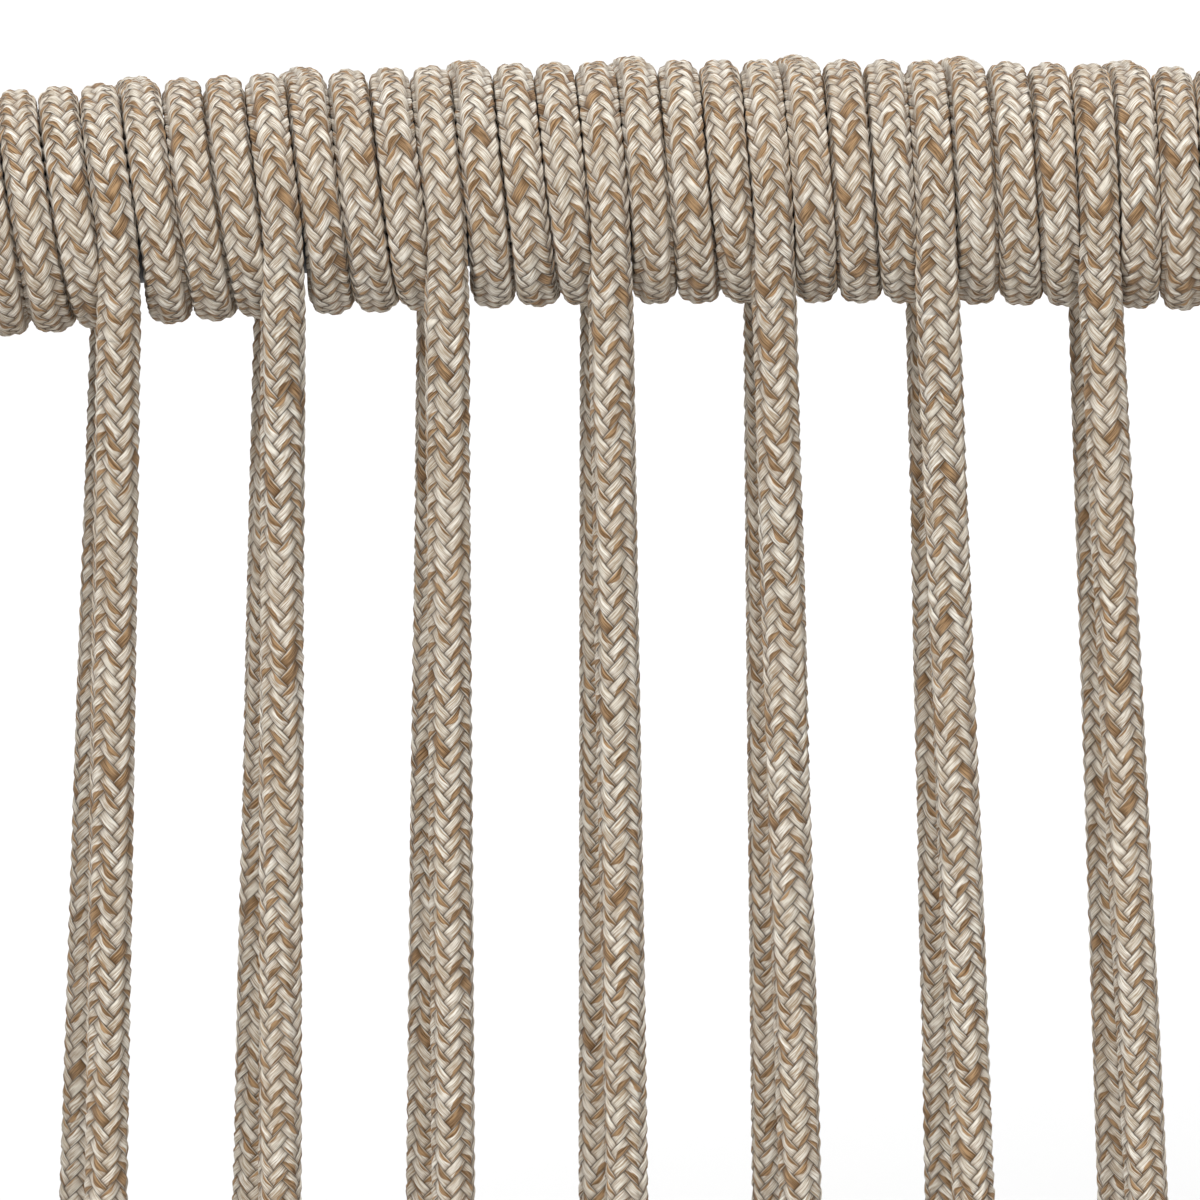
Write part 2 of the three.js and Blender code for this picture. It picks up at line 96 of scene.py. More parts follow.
@dataclass(frozen=True)
class Value:
    """An output socket of a node tree, or a number, that takes part in arithmetic."""

    tree: bpy.types.NodeTree
    source: object

    def _new(self, kind: str, operation: str, inputs: list, output: int = 0) -> Value:
        """Adds one node for an operation.

        Args:
            kind: The node's type.
            operation: The node's operation.
            inputs: Sockets, numbers or values, in the node's own order.
            output: The index of the output to return.

        Returns:
            The node's output.
        """
        node = self.tree.nodes.new(kind)
        node.operation = operation
        for socket, given in zip(node.inputs, inputs):
            feed(self.tree, given, socket)
        return Value(self.tree, node.outputs[output])

    def maths(self, operation: str, *others: object) -> Value:
        """Applies a scalar operation to this value and the others."""
        return self._new("ShaderNodeMath", operation, [self, *others])

    def vector_maths(self, operation: str, *others: object) -> Value:
        """Applies a vector operation to this value and the others."""
        return self._new("ShaderNodeVectorMath", operation, [self, *others])

    def __add__(self, other: object) -> Value:
        """Sum."""
        return self.maths("ADD", other)

    def __sub__(self, other: object) -> Value:
        """Difference."""
        return self.maths("SUBTRACT", other)

    def __rsub__(self, other: float) -> Value:
        """A number less this value."""
        return self._new("ShaderNodeMath", "SUBTRACT", [other, self])

    def __mul__(self, other: object) -> Value:
        """Product."""
        return self.maths("MULTIPLY", other)

    def __truediv__(self, other: object) -> Value:
        """Quotient."""
        return self.maths("DIVIDE", other)

    def __mod__(self, other: object) -> Value:
        """Remainder, never negative."""
        return self.maths("FLOORED_MODULO", other)

    def floor(self) -> Value:
        """The next whole number down."""
        return self.maths("FLOOR")

    def below(self, limit: object) -> Value:
        """1 where this value is under a limit, and 0 elsewhere."""
        return self.maths("LESS_THAN", limit)

    def least(self, other: object) -> Value:
        """The smaller of the two."""
        return self.maths("MINIMUM", other)

    def most(self, other: object) -> Value:
        """The larger of the two."""
        return self.maths("MAXIMUM", other)

    def ramp(self, start: object, end: object) -> Value:
        """0 up to start, 1 from end on, and a smooth rise between.

        Args:
            start: Where the rise starts.
            end: Where it ends.

        Returns:
            The value.
        """
        node = self.tree.nodes.new("ShaderNodeMapRange")
        node.interpolation_type = "SMOOTHSTEP"
        for name, given in (("Value", self), ("From Min", start), ("From Max", end)):
            feed(self.tree, given, node.inputs[name])
        return Value(self.tree, node.outputs[0])

    def choose(self, zero: object, one: object) -> Value:
        """Goes from one value to another as this one goes from 0 to 1."""
        first = zero if isinstance(zero, Value) else Value(self.tree, zero)
        return first + (Value(self.tree, one) - first if not isinstance(one, Value) else one - first) * self

    def part(self, axis: int) -> Value:
        """One of a vector's three numbers.

        Args:
            axis: 0, 1 or 2 for X, Y or Z.

        Returns:
            The number.
        """
        node = self.tree.nodes.new("ShaderNodeSeparateXYZ")
        feed(self.tree, self, node.inputs[0])
        return Value(self.tree, node.outputs[axis])


def feed(tree: bpy.types.NodeTree, given: object, socket: bpy.types.NodeSocket) -> None:
    """Links a value or a socket to an input, or sets the input to a number.

    Args:
        tree: The node tree of the input.
        given: A value, a socket or something that the input's default can hold.
        socket: The input.
    """
    source = given.source if isinstance(given, Value) else given
    if isinstance(source, bpy.types.NodeSocket):
        tree.links.new(source, socket)
    else:
        socket.default_value = source


def vector(tree: bpy.types.NodeTree, *parts: object) -> Value:
    """A vector from up to three numbers or values.

    Args:
        tree: The node tree.
        *parts: The numbers or values. A missing one is 0.

    Returns:
        The vector.
    """
    node = tree.nodes.new("ShaderNodeCombineXYZ")
    for socket, given in zip(node.inputs, parts):
        feed(tree, given, socket)
    return Value(tree, node.outputs[0])


def add_node(
    tree: bpy.types.NodeTree, kind: str, settings: dict | None = None, **inputs: object,
) -> bpy.types.Node:
    """Adds a node with its settings and inputs.

    Args:
        tree: The node tree.
        kind: The node's type.
        settings: The node's own properties.
        **inputs: Values for the named inputs, with an underscore for each space.

    Returns:
        The node.
    """
    node = tree.nodes.new(kind)
    for name, value in (settings or {}).items():
        setattr(node, name, value)
    for name, given in inputs.items():
        feed(tree, given, node.inputs[name.replace("_", " ")])
    return node


# ------------------------------------------------------------------------------ the frame's lines


@dataclass(frozen=True)
class Tube:
    """The stock tube of the whole frame."""

    radius: float = 14 * MM
    wall: float = 2.5 * MM


TUBE = Tube()
FIT = 0.3 * MM  # clearance between pieces that touch
BOLT_HOLE = 3.3 * MM  # radius of a hole for an M6 bolt
PLUG_LENGTH = 14 * MM  # how far a plug reaches into a rail
PLATE_THICKNESS = 6 * MM  # of a foot

# Places round a rail, in turns from straight behind it.
ABOVE = 0.25
IN_FRONT = 0.5


@dataclass(frozen=True)
class RailLine:
    """A rail's centre line: one circular bend whose ends come forward and down from mid span."""

    height: float
    half_span: float
    bend_radius: float = 1400 * MM
    tilt: float = math.radians(38)

    @property
    def half_length(self) -> float:
        """From mid span to the upright's axis, along the rail."""
        return self.bend_radius * math.asin(self.half_span / self.bend_radius)

    @property
    def inward(self) -> np.ndarray:
        """The direction from mid span to the bend's centre."""
        return np.array([0, -math.cos(self.tilt), -math.sin(self.tilt)])

    def at(self, length: np.ndarray | float) -> np.ndarray:
        """Points at lengths along the rail from mid span.

        Args:
            length: Lengths along the rail from mid span.

        Returns:
            The points.
        """
        angle = np.asarray(length, float)[..., None] / self.bend_radius
        drop = self.bend_radius * (1 - math.cos(self.half_length / self.bend_radius))
        middle = np.array([0, drop * math.cos(self.tilt), self.height])
        across = self.bend_radius * np.sin(angle) * np.array([1.0, 0, 0])
        return middle + across + self.bend_radius * (1 - np.cos(angle)) * self.inward

    def axes(self, length: np.ndarray | float) -> tuple[np.ndarray, np.ndarray, np.ndarray]:
        """The rail's tangent, and the directions behind and above it.

        Args:
            length: Lengths along the rail from mid span.

        Returns:
            Three arrays of unit vectors.
        """
        angle = np.asarray(length, float)[..., None] / self.bend_radius
        tangent = np.cos(angle) * np.array([1.0, 0, 0]) + np.sin(angle) * self.inward
        back = np.cross([0, 0, 1.0], tangent)
        back = back / np.linalg.norm(back, axis=-1, keepdims=True)
        return tangent, back, np.cross(tangent, back)

    def around(self, length: np.ndarray, turn: np.ndarray, radius: np.ndarray) -> np.ndarray:
        """Points off the rail.

        Args:
            length: Lengths along the rail from mid span.
            turn: 0 is behind the rail, a quarter above it, a half in front.
            radius: Distance from the rail's centre line.

        Returns:
            The points.
        """
        _, back, up = self.axes(length)
        angle = 2 * math.pi * np.asarray(turn, float)[..., None]
        reach = np.asarray(radius, float)[..., None]
        return self.at(length) + reach * (back * np.cos(angle) + up * np.sin(angle))


TOP_RAIL = RailLine(height=400 * MM, half_span=212 * MM)
BOTTOM_RAIL = RailLine(height=80 * MM, half_span=243 * MM)


@dataclass(frozen=True)
class UprightLine:
    """The straight line of one upright, through the ends of both rails."""

    side: Side

    @property
    def top(self) -> Vector:
        """Where the line meets the top rail's."""
        return Vector(TOP_RAIL.at(self.side.value * TOP_RAIL.half_length))

    @property
    def bottom(self) -> Vector:
        """Where the line meets the bottom rail's."""
        return Vector(BOTTOM_RAIL.at(self.side.value * BOTTOM_RAIL.half_length))

    @property
    def axis(self) -> Vector:
        """The direction up the upright."""
        return (self.top - self.bottom).normalized()

    def at_height(self, height: float) -> Vector:
        """The line's point at a height above the mounting plane."""
        return self.bottom + self.axis * ((height - self.bottom.z) / self.axis.z)


def rail_end_gap(rail: RailLine, saddle_wall: float = 3 * MM) -> float:
    """From an upright's axis to the end of a rail's tube.

    Args:
        rail: The rail's line.
        saddle_wall: The least wall between the rail's end and the upright.

    Returns:
        The length along the rail.
    """
    tangent = Vector(rail.axes(rail.half_length)[0])
    lean = abs(tangent.dot(UprightLine(Side.RIGHT).axis))
    edge_reach = TUBE.radius * (1 + lean) / math.sqrt(1 - lean * lean)
    return max(TUBE.radius + saddle_wall + 2 * FIT, edge_reach + FIT)


# ------------------------------------------------------------------------------ the rope's route


@dataclass(frozen=True)
class Rope:
    """The braided rope's own sizes."""

    free_radius: float = 4.05 * MM
    wound_breadth: float = 3.66 * MM  # half its width on the rail, pressed by its neighbours
    wound_depth: float = 3.9 * MM  # half its height on the rail
    flattening_below: float = 0.3 * MM  # how much broader it is under the rail
    slot: float = 7.2 * MM  # one rope's width along the rail
    plait_free: float = 3.34 * MM  # one row of the braid
    plait_wound: float = 2.9 * MM


@dataclass(frozen=True)
class Lacing:
    """How the one rope is laced: full turns on the top rail, then a front and a back run."""

    windings: int = 13
    full_turns: int = 3
    bottom_end_room: float = 35.6 * MM  # from the upright's axis to the outermost run below
    guide: float = 9 * MM  # a run drops this far beside its neighbours before it turns away
    tail: float = 18 * MM  # from the rail's mid height to the end of a winding's piece
    side_drift: float = 0.36  # slots gained behind the rail before they are due
    front_lean: float = 0.65  # share by which the turns lean more in front and less behind
    cross_over: float = 0.75  # slots by which an arriving run lies over the turn before it
    cross_over_turns: float = 0.175
    last_under: float = 0.75  # turns from the last pass under the rail to the front run
    under_spread: float = 0.125  # slots by which the turns part under the rail
    under_drift: float = -5.8 * MM  # sideways drift of a run under the bottom rail
    knot_radius: float = 5.6 * MM
    bolt_room: float = 3 * MM
    plug_length: float = PLUG_LENGTH
    mouth_rise: float = 8.4 * MM


@dataclass
class Route:
    """The whole rope's centre line, worked out from the lacing, with a mark where each piece ends."""

    rope: Rope = field(default_factory=Rope)
    lacing: Lacing = field(default_factory=Lacing)
    step: float = 0.5 * MM
    rounding: float = 2.5 * MM
    coil_points: int = 400
    under_points: int = 60

    def __post_init__(self) -> None:
        """Lays the line and measures it."""
        self.marks: list[int] = []
        self.points = self._smooth(self._resampled(self._corners()))
        self.lengths = np.concatenate([[0], np.cumsum(self._spans(self.points))])

    @property
    def turns(self) -> float:
        """A winding's turns, from the back run to the front run."""
        return self.lacing.full_turns + 0.5

    @property
    def winding_width(self) -> float:
        """The top rail's length that one winding takes."""
        return (self.lacing.full_turns + 1) * self.rope.slot

    @property
    def grommet_place(self) -> float:
        """From mid span to the collar of a rope end, along the bottom rail.

        Returns:
            The length, the same on both sides.
        """
        lacing = self.lacing
        tip = BOTTOM_RAIL.half_length - rail_end_gap(BOTTOM_RAIL) - lacing.plug_length
        return tip - lacing.bolt_room - lacing.knot_radius

    def front_run_on_top(self, index: int) -> float:
        """Where a winding's front run leaves the top rail."""
        laced_half = (self.lacing.windings - 1) * self.winding_width / 2
        return self.lacing.full_turns * self.rope.slot / 2 - laced_half + index * self.winding_width

    def front_run_below(self, index: int) -> float:
        """Where a winding's front run reaches the bottom rail.

        Args:
            index: The winding, from the left.

        Returns:
            The length along the rail from mid span.
        """
        laced_half = (self.lacing.windings - 1) * self.winding_width / 2
        fan = (BOTTOM_RAIL.half_span - self.lacing.bottom_end_room) / laced_half
        return fan * self.front_run_on_top(index)

    def winding(self, index: int, turn: np.ndarray | float) -> np.ndarray:
        """Points of a winding, which first crosses over the turn before it.

        Args:
            index: The winding, from the left.
            turn: Turns counted back from the front run, from -turns to 0.

        Returns:
            The points.
        """
        lacing, rope = self.lacing, self.rope
        turn = np.asarray(turn, float)
        since_arrival = (turn + self.turns) / lacing.cross_over_turns
        crossing = np.cos(np.pi / 2 * np.clip(since_arrival, 0, 1)) ** 2 * (index > 0)
        spacing = 1 - lacing.cross_over * crossing
        lift = (rope.slot + FIT) * np.sqrt(1 - spacing * spacing)
        slots = turn + lacing.side_drift / 2 * (1 - np.cos(2 * np.pi * turn))
        slots = slots + lacing.front_lean / (2 * np.pi) * np.sin(2 * np.pi * turn)
        below = np.clip(np.sin(2 * np.pi * turn), 0, 1) ** 2
        slots = slots + lacing.under_spread * (turn + lacing.last_under) * below
        place = self.front_run_on_top(index) + rope.slot * (slots - lacing.cross_over * crossing)
        return TOP_RAIL.around(place, IN_FRONT + turn, TUBE.radius + rope.wound_depth + lift)

    def rope_end_mouth(self, side: Side) -> np.ndarray:
        """Where a rope end turns from its collar towards the top rail."""
        place = side.value * self.grommet_place
        return BOTTOM_RAIL.around(place, ABOVE, TUBE.radius + self.lacing.mouth_rise)

    def _knot_end(self, side: Side) -> np.ndarray:
        """The far end of a stop knot, whose middle is on the bottom rail's axis."""
        return BOTTOM_RAIL.around(side.value * self.grommet_place, ABOVE, -self.lacing.knot_radius)

    def _under(self, index: int, share: np.ndarray) -> np.ndarray:
        """The turn under the bottom rail, from front (share 0) to back (share 1).

        Args:
            index: The winding that the turn comes from.
            share: Shares of the half turn.

        Returns:
            The points.
        """
        place = self.front_run_below(index) + self.lacing.under_drift * share
        reach = TUBE.radius + FIT + self.rope.free_radius
        return BOTTOM_RAIL.around(place, IN_FRONT + share / 2, np.full_like(share, reach))

    def _corners(self) -> list[np.ndarray]:
        """Stretches of the route in order. A piece ends between two stretches.

        Returns:
            The stretches' points.
        """
        drop = np.array([0, 0, -self.lacing.guide])
        last = self.lacing.windings - 1
        turn = np.linspace(-self.turns, 0, self.coil_points)
        share = np.linspace(0, 1, self.under_points)
        stretches = []
        before = np.array([self._knot_end(Side.LEFT), self.rope_end_mouth(Side.LEFT)])
        for index in range(self.lacing.windings):
            coil = self.winding(index, turn)
            head, leave = coil[0] + drop, coil[-1] + drop
            if index < last:
                after = self._under(index, share)
            else:
                after = np.array([self.rope_end_mouth(Side.RIGHT), self._knot_end(Side.RIGHT)])
            arrive_end = self._towards(head, before[-1])
            leave_end = self._towards(leave, after[0])
            stretches.append(np.vstack([before, arrive_end]))
            stretches.append(np.vstack([arrive_end, head, coil, leave, leave_end]))
            before = np.vstack([leave_end, after])
        stretches.append(before)
        return stretches

    def _towards(self, head: np.ndarray, end: np.ndarray) -> np.ndarray:
        """Where a winding's straight tail ends."""
        way = (end - head) / np.linalg.norm(end - head)
        return head + way * (self.lacing.tail - self.lacing.guide)

    @staticmethod
    def _spans(points: np.ndarray) -> np.ndarray:
        """The distances between points that follow each other."""
        return np.linalg.norm(np.diff(points, axis=0), axis=1)

    def _resampled(self, stretches: list[np.ndarray]) -> np.ndarray:
        """Even steps along all the stretches, noting the step at which each one ends.

        Args:
            stretches: The stretches' points, in order.

        Returns:
            The points of the whole line.
        """
        line = np.vstack(stretches)
        lengths = np.concatenate([[0], np.cumsum(self._spans(line))])
        ends = np.cumsum([len(stretch) for stretch in stretches]) - 1
        count = int(lengths[-1] / self.step)
        at = np.linspace(0, lengths[-1], count + 1)
        self.marks = [int(round(lengths[end] / lengths[-1] * count)) for end in ends]
        keep = np.concatenate([[True], np.diff(lengths) > 0])
        return np.stack([np.interp(at, lengths[keep], line[keep, axis]) for axis in range(3)], axis=1)

    def _smooth(self, points: np.ndarray) -> np.ndarray:
        """Rounds the corners of an evenly stepped line, and keeps its ends.

        Args:
            points: The line's points.

        Returns:
            As many points.
        """
        reach = int(3 * self.rounding / self.step)
        weights = np.exp(-0.5 * (np.arange(-reach, reach + 1) * self.step / self.rounding) ** 2)
        weights /= weights.sum()
        before = 2 * points[0] - points[reach:0:-1]
        after = 2 * points[-1] - points[-2:-reach - 2:-1]
        padded = np.vstack([before, points, after])
        return np.stack([np.convolve(padded[:, axis], weights, "valid") for axis in range(3)], axis=1)


@dataclass
class Stations:
    """The rope's section at each half row of its braid, for the whole route."""

    route: Route
    twist_amount: float = 0.9
    twist_waves: tuple[float, ...] = (0.31, 0.173, 0.097)
    twist_pace: float = 0.1
    twist_phase: float = 5.0
    wound_press: float = 0.5  # how much squarer than round the wound section is
    fade: float = 12 * MM  # from the end of a winding's piece to the fully wound section
    knot_tip: float = 0.02
    edge_rows: int = 2

    def __post_init__(self) -> None:
        """Works out how tightly the rope is wound, its braid rows and its section everywhere."""
        route, rope = self.route, self.route.rope
        wound = self._wound_share()
        plait = rope.plait_free + (rope.plait_wound - rope.plait_free) * wound
        rows = np.concatenate([[0], np.cumsum(np.diff(route.lengths) / plait[1:])])
        self.row_marks = [int(round(rows[mark])) for mark in route.marks]
        self.row_marks[-1] = int(rows[-1])
        at = np.arange(0, rows[-1], 0.5)
        self.centres = self._sampled(route.points, rows, at)
        wound = np.interp(at, rows, wound)
        tangent = np.gradient(self.centres, axis=0)
        tangent /= np.linalg.norm(tangent, axis=1, keepdims=True)
        across = np.array([1.0, 0, 0]) - tangent[:, :1] * tangent
        across /= np.linalg.norm(across, axis=1, keepdims=True)
        breadth = rope.free_radius + (rope.wound_breadth - rope.free_radius) * wound
        drop = (TOP_RAIL.at(self.centres[:, 0])[:, 2] - self.centres[:, 2]) / TUBE.radius
        breadth = breadth + rope.flattening_below * wound * np.clip(drop, 0, 1) ** 2
        depth = rope.free_radius + (rope.wound_depth - rope.free_radius) * wound
        swell = self._knot_swell(np.interp(at, rows, route.lengths))
        self.broad = across * (breadth * swell)[:, None]
        self.deep = np.cross(tangent, across) * (depth * swell)[:, None]
        twist = sum(np.sin(wave * (self.twist_pace * at + self.twist_phase)) for wave in self.twist_waves)
        press = 2 + self.wound_press * wound
        self.section = np.stack([self.twist_amount * twist, press, wound], axis=1)

    def _knot_swell(self, lengths: np.ndarray) -> np.ndarray:
        """How much thicker than itself the rope is, which is more in its two stop knots.

        Args:
            lengths: Lengths along the rope from its start.

        Returns:
            Shares of the rope's own thickness.
        """
        knot = self.route.lacing.knot_radius
        from_end = np.minimum(lengths, self.route.lengths[-1] - lengths)
        share = np.sqrt(np.clip(1 - (from_end / knot - 1) ** 2, self.knot_tip, 1))
        ball = share * knot / self.route.rope.free_radius
        return np.where(from_end > knot, np.maximum(ball, 1), ball)

    def _wound_share(self) -> np.ndarray:
        """1 where the rope is wound on the top rail, 0 where it runs free.

        Returns:
            One share for each of the route's points.
        """
        route = self.route
        share = np.zeros(len(route.points))
        for start, end in zip(route.marks[0::2], route.marks[1::2]):
            share[start:end] = 1
        reach = int(self.fade / route.step)
        kernel = np.hanning(2 * reach + 1)
        eroded = np.convolve(share, kernel / kernel.sum(), "same")
        return np.clip(2 * eroded - 1, 0, 1)

    @staticmethod
    def _sampled(points: np.ndarray, known: np.ndarray, wanted: np.ndarray) -> np.ndarray:
        """Points read off a line at wanted places."""
        return np.stack([np.interp(wanted, known, points[:, axis]) for axis in range(3)], axis=1)

    def cloud(self, first_row: int, last_row: int) -> bpy.types.Object:
        """A piece's stations as an object of loose points, for the braid's node tree.

        Args:
            first_row: The piece's first braid row on the whole rope.
            last_row: The row at its end.

        Returns:
            The object, with edge_rows more rows at each end.
        """
        wanted = np.arange(2 * (first_row - self.edge_rows), 2 * (last_row + self.edge_rows) + 1)
        picked = np.clip(wanted, 0, len(self.centres) - 1)
        over = (wanted - picked)[:, None]
        step = np.gradient(self.centres, axis=0)[picked]
        mesh = bpy.data.meshes.new("stations")
        mesh.from_pydata((self.centres[picked] + over * step).tolist(), [], [])
        for name, data in (("broad", self.broad), ("deep", self.deep), ("section", self.section)):
            layer = mesh.attributes.new(name, "FLOAT_VECTOR", "POINT")
            layer.data.foreach_set("vector", data[picked].astype(np.float32).ravel())
        cloud = bpy.data.objects.new("stations", mesh)
        bpy.context.scene.collection.objects.link(cloud)
        return cloud


# ------------------------------------------------------------------------------ the braid


@dataclass(frozen=True)
class Braid:
    """A 16-strand braid, each strand over two and under two, as a Geometry Nodes tree."""

    strands: int = 16
    steps: int = 3  # faces across a strand
    end_levels: int = 4  # levels of points that close the two ends of a piece
    row_stretch: float = 1.05  # rows against columns in the flat layout that is cut into triangles
    edge_share: float = 0.15  # share of a strand's width that each rounded edge takes
    side_depth: float = 0.27 * MM
    side_rise: float = 0.3
    end_depth: float = 0.46 * MM
    end_rise: float = 0.75
    rise_start: float = -0.1
    crown: float = 0.06 * MM
    map_margin: float = 0.03
    merge_distance: float = 0.001 * MM
    probe: float = 0.01
    guard: float = 1e-4  # keeps thirds that were rounded down on their own side
    nudge: float = 1e-5  # the same for whole numbers

    def tree(self) -> bpy.types.NodeTree:
        """Builds the node tree, whose inputs are the piece's rows, its sizes and its finish.

        Returns:
            The tree.
        """
        tree = bpy.data.node_groups.new("rope_braid", "GeometryNodeTree")
        face = tree.interface
        face.new_socket("Geometry", in_out="OUTPUT", socket_type="NodeSocketGeometry")
        face.new_socket("Stations", in_out="INPUT", socket_type="NodeSocketGeometry")
        counts = {"Rows": 10, "First Row": 0, "Edge Rows": Stations.edge_rows, "Bake Columns": 4}
        for name, default in counts.items():
            face.new_socket(name, in_out="INPUT", socket_type="NodeSocketInt").default_value = default
        lengths = {"Rope Radius": 4 * MM, "Side Depth": self.side_depth, "End Depth": self.end_depth}
        for name, default in lengths.items():
            face.new_socket(name, in_out="INPUT", socket_type="NodeSocketFloat").default_value = default
        face.new_socket("Finish", in_out="INPUT", socket_type="NodeSocketMaterial")
        given = tree.nodes.new("NodeGroupInput").outputs
        rows = Value(tree, given["Rows"])
        first_row = Value(tree, given["First Row"])

        columns = self.strands * self.steps + 1
        count = rows * self.steps + self.end_levels
        grid = add_node(tree, "GeometryNodeMeshGrid", Vertices_X=columns, Vertices_Y=count)
        index = Value(tree, tree.nodes.new("GeometryNodeInputIndex").outputs[0])
        column = (index / count + self.nudge).floor()
        level = index - column * count
        # The first and the last level close the piece's ends.
        is_cap = level.below(0.5) + (level + 1.5 - count).below(0) * -1 + 1
        ring = ((level - 1) / self.steps - (column % 2) / (2 * self.steps)).most(0).least(rows)
        place = column / self.steps

        flat = vector(tree, place, ring * self.row_stretch, 0.0)
        laid = add_node(tree, "GeometryNodeSetPosition", Geometry=grid.outputs["Mesh"], Position=flat)
        shortest = {"quad_method": "SHORTEST_DIAGONAL"}
        cut = add_node(tree, "GeometryNodeTriangulate", shortest, Mesh=laid.outputs[0])
        lattice = vector(
            tree,
            self._pressed(place / 2 - ring - first_row),
            self._pressed(place / 2 + ring + first_row),
            is_cap,
        )
        shape = self._stored(tree, cut.outputs[0], "lattice", "FLOAT_VECTOR", "POINT", lattice)
        shape = self._rounded(tree, shape, given, first_row)
        shape = self._mapped(tree, shape, given, rows, first_row)
        for kind, inputs in (
            ("GeometryNodeMergeByDistance", {"Distance": self.merge_distance}),
            ("GeometryNodeSetShadeSmooth", {}),
            ("GeometryNodeRemoveAttribute", {"Name": "lattice"}),
            ("GeometryNodeRealizeInstances", {}),
            ("GeometryNodeSetMaterial", {"Material": given["Finish"]}),
        ):
            shape = add_node(tree, kind, Geometry=shape, **inputs).outputs[0]
        feed(tree, shape, tree.nodes.new("NodeGroupOutput").inputs[0])
        return tree

    def _pressed(self, place: Value) -> Value:
        """Moves the lattice's thirds to just inside a strand's edges.

        Args:
            place: A lattice coordinate.

        Returns:
            The moved coordinate.
        """
        whole = (place + self.probe).floor()
        share = place - whole
        slope = self.edge_share * self.steps
        rise = share * slope
        middle = (share - 1 / self.steps) * (self.steps * (1 - 2 * self.edge_share)) + self.edge_share
        top = (share - 2 / self.steps) * slope + (1 - self.edge_share)
        in_middle = (share - 1 / self.steps + self.guard).below(0) * -1 + 1
        in_top = (share - 2 / self.steps + self.guard).below(0) * -1 + 1
        return whole + in_top.choose(in_middle.choose(rise, middle), top)

    @staticmethod
    def _stored(
        tree: bpy.types.NodeTree, shape: object, name: str, kind: str, domain: str, value: Value,
    ) -> object:
        """Stores a named attribute and returns the geometry.

        Args:
            tree: The node tree.
            shape: The geometry so far.
            name: The attribute's name.
            kind: Its data type.
            domain: What it is stored on.
            value: What it holds.

        Returns:
            The geometry with the attribute.
        """
        settings = {"data_type": kind, "domain": domain}
        inputs = {"Geometry": shape, "Name": name, "Value": value}
        return add_node(tree, "GeometryNodeStoreNamedAttribute", settings, **inputs).outputs[0]

    @staticmethod
    def _named(tree: bpy.types.NodeTree, name: str) -> Value:
        """Reads a vector attribute."""
        node = add_node(tree, "GeometryNodeInputNamedAttribute", {"data_type": "FLOAT_VECTOR"}, Name=name)
        return Value(tree, node.outputs[0])

    @staticmethod
    def _float_place(first: Value, second: Value, i: Value, j: Value) -> tuple[Value, Value, Value, Value]:
        """Where a lattice point lies on the float that is on top in its cell.

        Args:
            first: The lattice coordinate across the strands that rise to the left.
            second: The other lattice coordinate.
            i: The cell's number along the first coordinate.
            j: Its number along the second.

        Returns:
            The place along the float from 0 to 2, across it from 0 to 1, 1 where the strand of the
            first family is on top, and the cell's number in the float.
        """
        # The quarter keeps a whole number from being rounded down.
        turn = ((i + j + 0.25) % 4).floor()
        is_first = turn.below(1.5)
        cell = turn % 2
        along = is_first.choose(first - i, second - j) + cell
        across = is_first.choose(second - j, first - i)
        return along, across, is_first, cell

    def _relief(self, given: object, first: Value, second: Value) -> Value:
        """The surface's height at a lattice point, from the cells that meet there.

        Args:
            given: The tree's inputs.
            first: The first lattice coordinate.
            second: The second one.

        Returns:
            The height.
        """
        total = None
        side, end = Value(first.tree, given["Side Depth"]), Value(first.tree, given["End Depth"])
        for shift_first in (-self.probe, self.probe):
            for shift_second in (-self.probe, self.probe):
                i, j = (first + shift_first).floor(), (second + shift_second).floor()
                along, across, _, _ = self._float_place(first, second, i, j)
                to_side = across.least(1 - across)
                to_end = along.least(2 - along)
                valley = (1 - to_side.ramp(self.rise_start, self.side_rise)) * side * -1
                dive = (1 - to_end.ramp(self.rise_start, self.end_rise)) * end * -1
                height = valley + dive + to_end.ramp(0, 1) * self.crown
                total = height if total is None else total + height
        return total / 4

    def _rounded(self, tree: bpy.types.NodeTree, shape: object, given: object, first_row: Value) -> object:
        """Wraps the flat lattice round the route.

        Args:
            tree: The node tree.
            shape: The flat geometry.
            given: The tree's inputs.
            first_row: The piece's first row on the whole rope.

        Returns:
            The geometry in its place.
        """
        lattice = self._named(tree, "lattice")
        first, second, is_cap = lattice.part(0), lattice.part(1), lattice.part(2)
        height = self._relief(given, first, second)
        station = ((second - first) / 2 - first_row + Value(tree, given["Edge Rows"])) * 2
        below = station.floor()
        share = station - below
        spread = vector(tree, share, share, share)

        def sampled(value: Value) -> Value:
            """A vector of the stations, read between the two nearest ones.

            Args:
                value: The attribute, read on the stations.

            Returns:
                The vector.
            """
            ends = []
            for number in (below, below + 1):
                inputs = {"Geometry": given["Stations"], "Value": value, "Index": number}
                node = add_node(tree, "GeometryNodeSampleIndex", {"data_type": "FLOAT_VECTOR"}, **inputs)
                ends.append(Value(tree, node.outputs[0]))
            apart = ends[1].vector_maths("SUBTRACT", ends[0])
            return ends[0].vector_maths("ADD", apart.vector_maths("MULTIPLY", spread))

